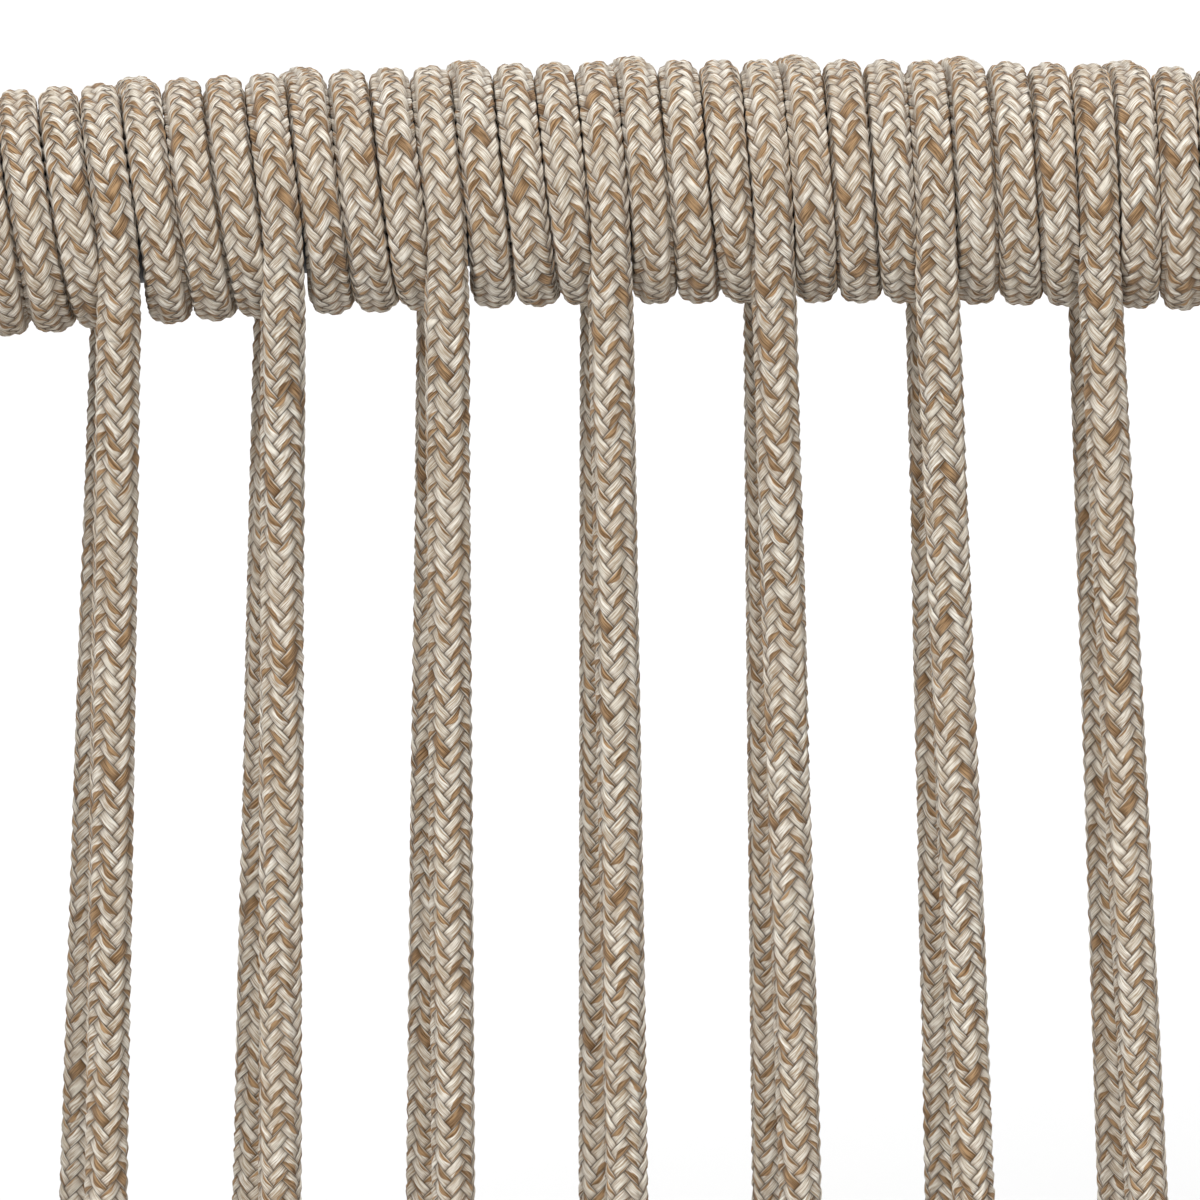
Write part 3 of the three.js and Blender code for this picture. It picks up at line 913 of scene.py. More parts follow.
        centre = sampled(Value(tree, tree.nodes.new("GeometryNodeInputPosition").outputs[0]))
        broad, deep, section = (sampled(self._named(tree, name)) for name in ("broad", "deep", "section"))
        angle = (first + second) * (2 * math.pi / self.strands) + section.part(0)
        cosine, sine = angle.maths("COSINE"), angle.maths("SINE")
        press = section.part(1)
        squarish = [part.maths("ABSOLUTE").maths("POWER", press) for part in (cosine, sine)]
        swell = (squarish[0] + squarish[1]).maths("POWER", Value(tree, -1.0) / press)
        reach = swell * (height / Value(tree, given["Rope Radius"]) + 1) * (1 - is_cap)
        out = broad.vector_maths("MULTIPLY", vector(tree, *[cosine * reach] * 3))
        up = deep.vector_maths("MULTIPLY", vector(tree, *[sine * reach] * 3))
        place = centre.vector_maths("ADD", out.vector_maths("ADD", up))
        return add_node(tree, "GeometryNodeSetPosition", Geometry=shape, Position=place).outputs[0]

    def _mapped(
        self, tree: bpy.types.NodeTree, shape: object, given: object, rows: Value, first_row: Value,
    ) -> object:
        """Stores each strand's own map, its number, and an unrolled map of the whole piece.

        Args:
            tree: The node tree.
            shape: The geometry.
            given: The tree's inputs.
            rows: The piece's rows.
            first_row: The piece's first row on the whole rope.

        Returns:
            The geometry with its three maps.
        """
        lattice = self._named(tree, "lattice")
        first, second = lattice.part(0), lattice.part(1)
        middles = []
        for part in (first, second):
            node = add_node(tree, "GeometryNodeFieldOnDomain", {"domain": "FACE"}, Value=part)
            middles.append(Value(tree, node.outputs[0]))
        i, j = middles[0].floor(), middles[1].floor()
        along, across, is_first, cell = self._float_place(first, second, i, j)
        shape = self._stored(tree, shape, "Strand", "FLOAT2", "CORNER", vector(tree, along, across, 0.0))
        half = self.strands // 2
        strand, start = is_first.choose(j, i), is_first.choose(i, j) - cell
        lap = (strand / half).floor()
        number = strand - lap * half + (1 - is_first) * half
        tag = vector(tree, number, start - lap * half, is_first)
        shape = self._stored(tree, shape, "float", "FLOAT_VECTOR", "FACE", tag)

        folds = Value(tree, given["Bake Columns"])
        fold_rows = rows / folds
        ring = (second - first) / 2 - first_row
        fold = (((middles[1] - middles[0]) / 2 - first_row) / fold_rows).floor().most(0).least(folds - 1)
        inside = 1 - 2 * self.map_margin
        across_fold = (first + second) / self.strands * inside + self.map_margin
        along_fold = (ring / fold_rows - fold) * inside + self.map_margin
        unrolled = vector(tree, (fold + across_fold) / folds, along_fold, 0.0)
        return self._stored(tree, shape, "OFBake", "FLOAT2", "CORNER", unrolled)


# ------------------------------------------------------------------------------ finishes


Colour = tuple[float, float, float, float]


def linear(red: float, green: float, blue: float) -> Colour:
    """A colour given as 0 to 255 on a screen, as the renderer's own numbers.

    Args:
        red: The red part.
        green: The green part.
        blue: The blue part.

    Returns:
        The colour with an alpha of 1.
    """
    shares = [part / 255 for part in (red, green, blue)]
    parts = [share / 12.92 if share <= 0.04045 else ((share + 0.055) / 1.055) ** 2.4 for share in shares]
    return (*parts, 1.0)


def grain_group() -> bpy.types.NodeTree:
    """The shared grain: even noise on the object's own coordinates, as a shade and as a bump normal.

    Returns:
        The node group, which is made once.
    """
    name = "fine_grain"
    if name in bpy.data.node_groups:
        return bpy.data.node_groups[name]
    tree = bpy.data.node_groups.new(name, "ShaderNodeTree")
    face = tree.interface
    for label, default in (("Scale", 2000.0), ("Height", 0.02 * MM), ("Detail", 2.0)):
        face.new_socket(label, in_out="INPUT", socket_type="NodeSocketFloat").default_value = default
    stretch = face.new_socket("Stretch", in_out="INPUT", socket_type="NodeSocketVector")
    stretch.default_value = (1, 1, 1)
    face.new_socket("Shade", in_out="OUTPUT", socket_type="NodeSocketFloat")
    face.new_socket("Normal", in_out="OUTPUT", socket_type="NodeSocketVector")
    given = tree.nodes.new("NodeGroupInput").outputs
    place = Value(tree, tree.nodes.new("ShaderNodeTexCoord").outputs["Object"])
    stretched = place.vector_maths("MULTIPLY", given["Stretch"])
    inputs = {"Vector": stretched, "Scale": given["Scale"], "Detail": given["Detail"]}
    noise = add_node(tree, "ShaderNodeTexNoise", **inputs).outputs[0]
    bump = add_node(tree, "ShaderNodeBump", Height=noise, Distance=given["Height"]).outputs[0]
    out = tree.nodes.new("NodeGroupOutput").inputs
    feed(tree, noise, out["Shade"])
    feed(tree, bump, out["Normal"])
    return tree


def grain(
    tree: bpy.types.NodeTree, scale: float, height: float, detail: float = 2.0,
    stretch: tuple[float, float, float] = (1, 1, 1),
) -> tuple[Value, Value]:
    """Adds the shared grain to a material.

    Args:
        tree: The material's node tree.
        scale: Grains per metre.
        height: The bump's height.
        detail: How many finer layers it has.
        stretch: How much denser it is along each axis.

    Returns:
        The shade, about a half on average, and the normal.
    """
    node = tree.nodes.new("ShaderNodeGroup")
    node.node_tree = grain_group()
    for label, value in (("Scale", scale), ("Height", height), ("Detail", detail), ("Stretch", stretch)):
        node.inputs[label].default_value = value
    return Value(tree, node.outputs["Shade"]), Value(tree, node.outputs["Normal"])


def mixed(tree: bpy.types.NodeTree, share: Value, zero: object, one: object) -> Value:
    """Mixes two colours.

    Args:
        tree: The node tree.
        share: How much of the second colour there is.
        zero: The first colour.
        one: The second colour.

    Returns:
        The colour.
    """
    node = tree.nodes.new("ShaderNodeMix")
    node.data_type = "RGBA"
    for index, given in ((0, share), (6, zero), (7, one)):  # the node's sockets for colours
        feed(tree, given, node.inputs[index])
    return Value(tree, node.outputs[2])


@dataclass(frozen=True)
class Finish:
    """A finish, made into a material once."""

    name: str

    def material(self) -> bpy.types.Material:
        """The finish's material.

        Returns:
            The material, which is made once.
        """
        if self.name in bpy.data.materials:
            return bpy.data.materials[self.name]
        material = bpy.data.materials.new(self.name)
        material.use_nodes = True
        shader = material.node_tree.nodes["Principled BSDF"]
        self.shade(material.node_tree, shader)
        return material

    def shade(self, tree: bpy.types.NodeTree, shader: bpy.types.Node) -> None:
        """Sets the shader and adds what feeds it."""
        raise NotImplementedError


@dataclass(frozen=True)
class PowderCoat(Finish):
    """Charcoal powder coat: an orange-peel surface with a soft shine."""

    dark: Colour = linear(44, 44, 46)
    light: Colour = linear(56, 56, 58)
    peel: float = 900.0
    peel_height: float = 0.05 * MM
    mottle: tuple[float, float] = (0.35, 0.65)
    roughness: float = 0.52
    specular: float = 0.4

    def shade(self, tree: bpy.types.NodeTree, shader: bpy.types.Node) -> None:
        """Mottles the colour slightly and bumps the surface.

        Args:
            tree: The material's node tree.
            shader: The material's shader.
        """
        shade, normal = grain(tree, self.peel, self.peel_height)
        feed(tree, mixed(tree, shade.ramp(*self.mottle), self.dark, self.light), shader.inputs["Base Color"])
        feed(tree, normal, shader.inputs["Normal"])
        shader.inputs["Roughness"].default_value = self.roughness
        shader.inputs["Specular IOR Level"].default_value = self.specular


@dataclass(frozen=True)
class BrushedSteel(Finish):
    """Stainless steel with fine brushing."""

    dark: Colour = linear(150, 150, 152)
    light: Colour = linear(205, 205, 206)
    lines: float = 700.0
    line_stretch: tuple[float, float, float] = (1, 1, 12)
    line_detail: float = 4.0
    line_height: float = 0.01 * MM
    mottle: tuple[float, float] = (0.3, 0.7)
    smoothest: float = 0.24
    roughest: float = 0.4

    def shade(self, tree: bpy.types.NodeTree, shader: bpy.types.Node) -> None:
        """Draws the brushing in colour, roughness and bump.

        Args:
            tree: The material's node tree.
            shader: The material's shader.
        """
        shade, normal = grain(tree, self.lines, self.line_height, self.line_detail, self.line_stretch)
        feed(tree, mixed(tree, shade.ramp(*self.mottle), self.dark, self.light), shader.inputs["Base Color"])
        rough = shade * (self.roughest - self.smoothest) + self.smoothest
        feed(tree, rough, shader.inputs["Roughness"])
        feed(tree, normal, shader.inputs["Normal"])
        shader.inputs["Metallic"].default_value = 1.0


@dataclass(frozen=True)
class Nylon(Finish):
    """Moulded black nylon with a fine spark-eroded texture."""

    dark: Colour = linear(28, 28, 29)
    light: Colour = linear(40, 40, 41)
    texture: float = 3200.0
    texture_height: float = 0.03 * MM
    texture_detail: float = 1.0
    mottle: tuple[float, float] = (0.3, 0.7)
    roughness: float = 0.58

    def shade(self, tree: bpy.types.NodeTree, shader: bpy.types.Node) -> None:
        """Textures the surface.

        Args:
            tree: The material's node tree.
            shader: The material's shader.
        """
        shade, normal = grain(tree, self.texture, self.texture_height, self.texture_detail)
        feed(tree, mixed(tree, shade.ramp(*self.mottle), self.dark, self.light), shader.inputs["Base Color"])
        feed(tree, normal, shader.inputs["Normal"])
        shader.inputs["Roughness"].default_value = self.roughness


@dataclass(frozen=True)
class BraidedYarn(Finish):
    """Cream yarn with a brown stripe along one edge of most strands, both of parallel fibres.

    A pair named range or gap gives the distances at which an effect starts and is complete: shares of a
    strand's width from its side, or of one crossing's length from where it dives.
    """

    cream: Colour = linear(238, 233, 222)
    pale: Colour = linear(220, 213, 199)
    brown: Colour = linear(174, 141, 103)
    dark_brown: Colour = linear(96, 68, 41)
    shadow: Colour = linear(138, 109, 68)
    # painted shade: the dark that fills the gaps between strands
    valley: Colour = linear(30, 21, 11)
    plain_share: float = 0.06  # share of strands without a stripe
    brown_share: float = 0.03  # share of strands that are all brown
    stripe_start: float = 0.07
    stripe_least: float = 0.2
    stripe_more: float = 0.42
    stripe_taper: float = 0.55
    taper_range: tuple[float, float] = (0, 0.9)
    stripe_blur: float = 0.045
    edge_blur: float = 0.04
    fray: float = 0.16
    fibres_across: float = 13.0
    fibres_along: float = 0.6
    fibre_detail: float = 2.0
    fibre_roughness: float = 0.55
    fibre_spread: float = 40.0  # how far apart two strands' fibre patterns are read
    side_seed: float = 7.5  # tells a strand's stripe side from its other random numbers
    fibre_dark: float = 0.34
    fibre_light: float = 0.62
    fibre_shade: float = 0.78
    # painted shade: a stripe darkens towards where its strand dives under the next one
    end_darkening: float = 0.7
    darkening_range: tuple[float, float] = (-0.2, 0.8)
    # painted shade: every strand darkens towards dark brown where it dives under the next one
    end_shade: float = 0.6
    end_shade_range: tuple[float, float] = (-0.1, 0.55)
    side_gap: tuple[float, float] = (-0.02, 0.08)
    end_gap: tuple[float, float] = (-0.1, 0.16)
    wear_scale: float = 45.0
    wear_mottle: tuple[float, float] = (0.3, 0.75)
    wear_share: float = 0.12
    fibre_relief: float = 0.35
    gap_relief: float = 0.35
    round_relief: float = 0.5
    round_range: tuple[float, float] = (-0.1, 0.45)
    bump_height: float = 0.3 * MM
    bump_strength: float = 0.9
    roughness: float = 0.86
    specular: float = 0.22
    sheen: float = 0.12
    sheen_roughness: float = 0.5

    def shade(self, tree: bpy.types.NodeTree, shader: bpy.types.Node) -> None:
        """Draws each strand from its own map and number.

        Args:
            tree: The material's node tree.
            shader: The material's shader.
        """
        strand = self._attribute(tree, "Strand")
        along, across = strand.part(0), strand.part(1)
        tag = self._attribute(tree, "float")
        chances = self._chances(tree, tag)
        sides = self._chances(tree, vector(tree, tag.part(0), self.side_seed, 0.0))
        fibres = self._fibres(tree, along, across, chances.part(2))

        plain = chances.part(0).below(self.plain_share)
        all_brown = 1 - chances.part(0).below(1 - self.brown_share)
        width = chances.part(1) * self.stripe_more + self.stripe_least
        from_edge = sides.part(0).below(0.5).choose(across, 1 - across)
        frayed = from_edge + (fibres - 0.5) * self.fray
        to_side = across.least(1 - across)
        to_end = along.least(2 - along)
        width = width * (to_end.ramp(*self.taper_range) * self.stripe_taper + (1 - self.stripe_taper))
        stripe = 1 - frayed.ramp(width - self.stripe_blur, width + self.stripe_blur)
        edge = to_side.ramp(self.stripe_start - self.edge_blur, self.stripe_start + self.edge_blur)
        brown = (stripe * (1 - plain)).most(all_brown) * edge

        light = mixed(tree, chances.part(2), self.cream, self.pale)
        lines = fibres.ramp(self.fibre_dark, self.fibre_light)
        # Painted shade: the stripe darkens towards where its strand dives under the next one.
        lit = to_end.ramp(*self.darkening_range) * self.end_darkening + (1 - self.end_darkening)
        dark = mixed(tree, lines * lit, self.dark_brown, self.brown)
        colour = mixed(tree, brown, light, dark)
        colour = mixed(tree, (1 - lines) * self.fibre_shade * (1 - brown), colour, self.shadow)
        open_share = to_side.ramp(*self.side_gap) * to_end.ramp(*self.end_gap)
        # Painted shade: every strand darkens towards where it dives under the next one.
        near_end = 1 - to_end.ramp(*self.end_shade_range)
        colour = mixed(tree, near_end * self.end_shade, colour, self.dark_brown)
        # Painted shade: the gaps at each strand's sides and ends are drawn dark.
        colour = mixed(tree, open_share, self.valley, colour)
        wear, _ = grain(tree, self.wear_scale, 0.0)
        colour = mixed(tree, wear.ramp(*self.wear_mottle) * self.wear_share, colour, self.brown)
        feed(tree, colour, shader.inputs["Base Color"])

        height = lines * self.fibre_relief + open_share * self.gap_relief
        height = height + to_side.ramp(*self.round_range) * self.round_relief
        bump = {"Height": height, "Distance": self.bump_height, "Strength": self.bump_strength}
        feed(tree, add_node(tree, "ShaderNodeBump", **bump).outputs[0], shader.inputs["Normal"])
        shader.inputs["Roughness"].default_value = self.roughness
        shader.inputs["Specular IOR Level"].default_value = self.specular
        shader.inputs["Sheen Weight"].default_value = self.sheen
        shader.inputs["Sheen Roughness"].default_value = self.sheen_roughness

    @staticmethod
    def _attribute(tree: bpy.types.NodeTree, name: str) -> Value:
        """A vector attribute of the mesh."""
        return Value(tree, add_node(tree, "ShaderNodeAttribute", {"attribute_name": name}).outputs["Vector"])

    @staticmethod
    def _chances(tree: bpy.types.NodeTree, seed: Value) -> Value:
        """Three even random numbers."""
        settings = {"noise_dimensions": "3D"}
        return Value(tree, add_node(tree, "ShaderNodeTexWhiteNoise", settings, Vector=seed).outputs["Color"])

    def _fibres(self, tree: bpy.types.NodeTree, along: Value, across: Value, seed: Value) -> Value:
        """Streaks along the strand.

        Args:
            tree: The material's node tree.
            along: The place along the strand.
            across: The place across it.
            seed: The strand's random number.

        Returns:
            A shade, about a half on average.
        """
        apart = seed * self.fibre_spread
        place = vector(tree, across * self.fibres_across, along * self.fibres_along, apart)
        inputs = {"Scale": 1.0, "Detail": self.fibre_detail, "Roughness": self.fibre_roughness}
        return Value(tree, add_node(tree, "ShaderNodeTexNoise", Vector=place, **inputs).outputs[0])


@dataclass(frozen=True)
class StudioFloor(Finish):
    """A plain white floor."""

    colour: Colour = (0.72, 0.72, 0.72, 1.0)
    roughness: float = 0.9
    specular: float = 0.1

    def shade(self, tree: bpy.types.NodeTree, shader: bpy.types.Node) -> None:
        """Sets a matt white.

        Args:
            tree: The material's node tree.
            shader: The material's shader.
        """
        shader.inputs["Base Color"].default_value = self.colour
        shader.inputs["Roughness"].default_value = self.roughness
        shader.inputs["Specular IOR Level"].default_value = self.specular


POWDER_COAT = PowderCoat("charcoal_powder_coat")
STEEL = BrushedSteel("stainless_steel")
NYLON = Nylon("black_nylon")
YARN = BraidedYarn("cream_and_brown_yarn")
FLOOR = StudioFloor("studio_floor")


# ------------------------------------------------------------------------------ shapes


Outline = list[tuple[float, float]]


def publish(node: str, mesh: bpy.types.Mesh, finish: Finish) -> bpy.types.Object:
    """Makes a mesh the look of a node.

    Args:
        node: The node's name.
        mesh: The mesh, in the object's own frame.
        finish: Its finish.

    Returns:
        The new object.
    """
    mesh.name = f"{node}_look"
    mesh.materials.clear()
    mesh.materials.append(finish.material())
    piece = bpy.data.objects.new(f"{node}_look", mesh)
    bpy.context.scene.collection.objects.link(piece)
    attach(piece, ROOT)
    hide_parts(node)
    log.info("%s: %d faces", node, len(mesh.polygons))
    return piece


SHARPEST_CORNER = 0.2  # radians, so that a rounding stays finite
LONGEST_CUT = 0.45  # share of a side that one corner's rounding may take
ON_AXIS = 1e-6  # an outline's point nearer to the axis than this lies on it
ROUND = 64  # segments round a turned piece
CUTTER_ROUND = 96  # segments round a cutter that leaves a curved seat
HEXAGON = 6  # sides of a key's socket


def rounded(corners: Outline, radius: float, closed: bool = True, steps: int = 4) -> Outline:
    """Rounds an outline's corners.

    Args:
        corners: The outline's corners.
        radius: The rounding, which is less where a side is too short for it.
        closed: Whether the last corner joins the first.
        steps: Segments in each rounding.

    Returns:
        The finer outline.
    """
    result: Outline = []
    for number, corner in enumerate(corners):
        here = Vector(corner)
        if not closed and number in (0, len(corners) - 1):
            result.append(tuple(here))
            continue
        to_before = Vector(corners[number - 1]) - here
        to_after = Vector(corners[(number + 1) % len(corners)]) - here
        cut = radius / math.tan(max(to_before.angle(to_after), SHARPEST_CORNER) / 2)
        cut = min(cut, LONGEST_CUT * to_before.length, LONGEST_CUT * to_after.length)
        start, end = here + to_before.normalized() * cut, here + to_after.normalized() * cut
        for step in range(steps + 1):
            share = step / steps
            point = start * (1 - share) ** 2 + here * (2 * share * (1 - share)) + end * share**2
            result.append(tuple(point))
    return result


def lathed(outline: Outline, sides: int = 48) -> bpy.types.Mesh:
    """Turns an outline of (radius, along) round Z.

    Args:
        outline: It starts and ends on the axis, or stays off it and closes on itself.
        sides: Segments round the axis.

    Returns:
        The closed mesh.
    """
    is_ring = min(radius for radius, _ in outline) > ON_AXIS
    rows = len(outline)
    angles = [2 * math.pi * side / sides for side in range(sides)]
    points = [(r * math.cos(angle), r * math.sin(angle), z) for angle in angles for r, z in outline]
    faces = []
    for side in range(sides):
        here, there = side * rows, (side + 1) % sides * rows
        for row in range(rows if is_ring else rows - 1):
            after = (row + 1) % rows
            faces.append((here + row, here + after, there + after, there + row))
    return closed_mesh(points, faces)


def closed_mesh(points: list, faces: list, merge_distance: float = 0.0005 * MM) -> bpy.types.Mesh:
    """A mesh whose doubled points are merged and whose faces point outwards.

    Args:
        points: The mesh's points.
        faces: Each face's point numbers.
        merge_distance: How near two points must be to become one.

    Returns:
        The mesh.
    """
    mesh = bpy.data.meshes.new("shape")
    mesh.from_pydata([tuple(point) for point in points], [], faces)
    return tidied(mesh, merge_distance)


def tidied(
    mesh: bpy.types.Mesh, merge_distance: float = 0.0005 * MM, crease: float = 35,
) -> bpy.types.Mesh:
    """Merges doubles, points the faces outwards and shades them smooth up to a crease angle in degrees.

    Args:
        mesh: The mesh, which is changed.
        merge_distance: How near two points must be to become one.
        crease: The angle past which an edge stays sharp.

    Returns:
        The same mesh.
    """
    work = bmesh.new()
    work.from_mesh(mesh)
    bmesh.ops.remove_doubles(work, verts=work.verts, dist=merge_distance)
    bmesh.ops.dissolve_degenerate(work, edges=work.edges, dist=merge_distance)
    bmesh.ops.recalc_face_normals(work, faces=work.faces)
    work.to_mesh(mesh)
    work.free()
    mesh.shade_smooth()
    mesh.set_sharp_from_angle(angle=math.radians(crease))
    return mesh


def placed(mesh: bpy.types.Mesh, matrix: Matrix) -> bpy.types.Mesh:
    """Moves a mesh."""
    mesh.transform(matrix)
    return mesh


def standing(origin: Vector, axis: Vector, hint: Vector = Vector((0, -1, 0))) -> Matrix:
    """Axes at an origin with Z along an axis and X as near a hint as it can be.

    Args:
        origin: Where the axes stand.
        axis: The direction of Z.
        hint: The direction that X comes near.

    Returns:
        The matrix of the axes.
    """
    z_axis = Vector(axis).normalized()
    x_axis = (Vector(hint) - z_axis * Vector(hint).dot(z_axis)).normalized()
    y_axis = z_axis.cross(x_axis)
    matrix = Matrix((x_axis, y_axis, z_axis)).transposed().to_4x4()
    matrix.translation = origin
    return matrix


def rod(radius: float, start: float, end: float, sides: int = 48) -> bpy.types.Mesh:
    """A plain rod on Z, for cutting with."""
    return lathed([(0, start), (radius, start), (radius, end), (0, end)], sides)


def ring(
    inner: float, outer: float, start: float, end: float, radius: float, sides: int = ROUND,
) -> bpy.types.Mesh:
    """A rounded ring on Z."""
    corners = [(inner, start), (outer, start), (outer, end), (inner, end)]
    return lathed(rounded(corners, radius), sides)


def combined(body: bpy.types.Mesh, *tools: tuple[str, bpy.types.Mesh]) -> bpy.types.Mesh:
    """Cuts a mesh by others or joins them to it.

    Args:
        body: The mesh to start from.
        *tools: Pairs of "DIFFERENCE" or "UNION" and a mesh, in order.

    Returns:
        The new mesh.
    """
    holder = bpy.data.objects.new("body", body)
    bpy.context.scene.collection.objects.link(holder)
    helpers = []
    for operation, mesh in tools:
        helper = bpy.data.objects.new("tool", mesh)
        bpy.context.scene.collection.objects.link(helper)
        helpers.append(helper)
        modifier = holder.modifiers.new("combine", "BOOLEAN")
        modifier.operation = operation
        modifier.solver = "EXACT"
        modifier.object = helper
    result = evaluated_mesh(holder)
    for helper in helpers:
        bpy.data.objects.remove(helper)
    return tidied(result)


def evaluated_mesh(holder: bpy.types.Object) -> bpy.types.Mesh:
    """The mesh that an object's modifiers make. The object is removed.

    Args:
        holder: The object with the modifiers.

    Returns:
        The new mesh.
    """
    bpy.context.view_layer.update()
    graph = bpy.context.evaluated_depsgraph_get()
    mesh = bpy.data.meshes.new_from_object(holder.evaluated_get(graph))
    bpy.data.objects.remove(holder)
    return mesh


def cut_by(*meshes: bpy.types.Mesh) -> list[tuple[str, bpy.types.Mesh]]:
    """Names meshes as cutters."""
    return [("DIFFERENCE", mesh) for mesh in meshes]


# ------------------------------------------------------------------------------ the rope


@dataclass
class LacedRope:
    """The one rope, in the pieces that the object's nodes split it into."""

    route: Route = field(default_factory=Route)
    braid: Braid = field(default_factory=Braid)
    winding_folds: int = 4
    loop_folds: int = 5
    end_folds: int = 3

    def build(self) -> None:
        """Braids every piece along its part of the route."""
        stations = Stations(self.route)
        tree = self.braid.tree()
        first_row = 0
        for (node, folds), last_row in zip(self._pieces(), stations.row_marks):
            cloud = stations.cloud(first_row, last_row)
            mesh = self._braided(cloud, tree, first_row, last_row - first_row, folds)
            publish(node, mesh, YARN)
            first_row = last_row
        log.info("rope length %.3f m", self.route.lengths[-1])

    def _pieces(self) -> list[tuple[str, int]]:
        """The nodes in the rope's order, with how many columns each one's flat map has.

        Returns:
            Each node's name and its columns.
        """
        last = self.route.lacing.windings
        pieces = [("rope_start_run", self.end_folds)]
        for number in range(1, last + 1):
            pieces.append((f"rope_winding_{number:02d}", self.winding_folds))
            if number < last:
                pieces.append((f"rope_loop_{number:02d}", self.loop_folds))
        pieces.append(("rope_finish_run", self.end_folds))
        return pieces

    def _braided(
        self, cloud: bpy.types.Object, tree: bpy.types.NodeTree, first_row: int, rows: int, folds: int,
    ) -> bpy.types.Mesh:
        """Runs the braid's node tree on a piece's stations.

        Args:
            cloud: The piece's stations.
            tree: The braid's node tree.
            first_row: The piece's first row on the whole rope.
            rows: How many rows it has.
            folds: The columns of its flat map.

        Returns:
            The mesh, with its faces pointing outwards.
        """
        modifier = cloud.modifiers.new("braid", "NODES")
        modifier.node_group = tree
        rope = self.route.rope
        wanted = {
            "Rows": rows, "First Row": first_row, "Edge Rows": Stations.edge_rows, "Bake Columns": folds,
            "Rope Radius": rope.free_radius, "Side Depth": self.braid.side_depth,
            "End Depth": self.braid.end_depth, "Finish": YARN.material(),
        }
        for socket in tree.interface.items_tree:
            if socket.name in wanted:
                modifier[socket.identifier] = wanted[socket.name]
        mesh = evaluated_mesh(cloud)
        if self._volume(mesh) < 0:
            mesh.flip_normals()
        return mesh

    @staticmethod
    def _volume(mesh: bpy.types.Mesh) -> float:
        """The volume inside a mesh, negative where its faces point inwards.

        Args:
            mesh: A closed mesh.

        Returns:
            The volume.
        """
        work = bmesh.new()
        work.from_mesh(mesh)
        volume = work.calc_volume(signed=True)
        work.free()
        return volume


# ------------------------------------------------------------------------------ the tube frame


@dataclass(frozen=True)
class TubeFrame:
    """The two bent rails and the two splayed uprights."""

    sides: int = 56
    hole_sides: int = 24
    bend_steps: int = 60
    rim: float = 0.7 * MM
    upright_rise: float = 26 * MM
    foot_thickness: float = PLATE_THICKNESS
    bolt_hole: float = BOLT_HOLE
    barrel_hole: float = 5.7 * MM

    def build(self, route: Route) -> None:
        """Makes the four tubes.

        Args:
            route: The rope's route, which says where its ends enter the bottom rail.
        """
        publish("top_rail", self.rail(TOP_RAIL), POWDER_COAT)
        below = self.rail(BOTTOM_RAIL)
        mouths = []
        for side in Side:
            place = side.value * route.grommet_place
            start = Vector(BOTTOM_RAIL.at(place))
            up = Vector(BOTTOM_RAIL.around(place, ABOVE, 1.0)) - start
            mouths.append(placed(rod(self.barrel_hole, 0, 2 * TUBE.radius), standing(start, up)))
        publish("bottom_rail", combined(below, *cut_by(*mouths)), POWDER_COAT)
        for side in Side:
            publish(f"{side.word}_upright", self.upright(side), POWDER_COAT)

    def rail(self, line: RailLine) -> bpy.types.Mesh:
        """A tube along a rail's line.

        Args:
            line: The rail's line.

        Returns:
            The mesh.
        """
        half = line.half_length - rail_end_gap(line)
        stations = np.linspace(-half + 2 * self.rim, half - 2 * self.rim, self.bend_steps + 1)
        inner = TUBE.radius - TUBE.wall
        outer = TUBE.radius
        near = [(inner, stations[0]), (inner, -half), (outer, -half), (outer, stations[0])]
        far = [(outer, stations[-1]), (outer, half), (inner, half), (inner, stations[-1])]
        outline = rounded(near, self.rim, False)[1:-1]
        outline += [(outer, place) for place in stations]
        outline += rounded(far, self.rim, False)[1:-1]
        outline += [(inner, place) for place in reversed(stations)]
        mesh = lathed(outline, self.sides)
        points = np.array([vertex.co for vertex in mesh.vertices])
        _, back, up = line.axes(points[:, 2])
        bent = line.at(points[:, 2]) + points[:, :1] * back + points[:, 1:2] * up
        mesh.vertices.foreach_set("co", bent.astype(np.float32).ravel())
        mesh.update()
        return tidied(mesh)

    def upright(self, side: Side) -> bpy.types.Mesh:
        """A straight tube with its two bolt holes.

        Args:
            side: The upright's side.

        Returns:
            The mesh.
        """
        line = UprightLine(side)
        lower = self.lower(side)
        upper = line.top + line.axis * self.upright_rise
        inner = TUBE.radius - TUBE.wall
        tube = ring(inner, TUBE.radius, 0, (upper - lower).length, self.rim, self.sides)
        placed(tube, standing(lower, line.axis))
        reach = 2 * TUBE.radius
        holes = []
        for rail in (TOP_RAIL, BOTTOM_RAIL):
            place = side.value * rail.half_length
            out = Vector(rail.axes(place)[0])
            hole = rod(self.bolt_hole, -reach, reach, self.hole_sides)
            holes.append(placed(hole, standing(Vector(rail.at(place)), out)))
        return combined(tube, *cut_by(*holes))

    def lower(self, side: Side) -> Vector:
        """The lower end of an upright, which stands just clear of the foot's plate.

        Args:
            side: The upright's side.

        Returns:
            The point on its axis.
        """
        line = UprightLine(side)
        lean = math.sqrt(1 - line.axis.z**2)
        return line.at_height(self.foot_thickness + FIT + TUBE.radius * lean)


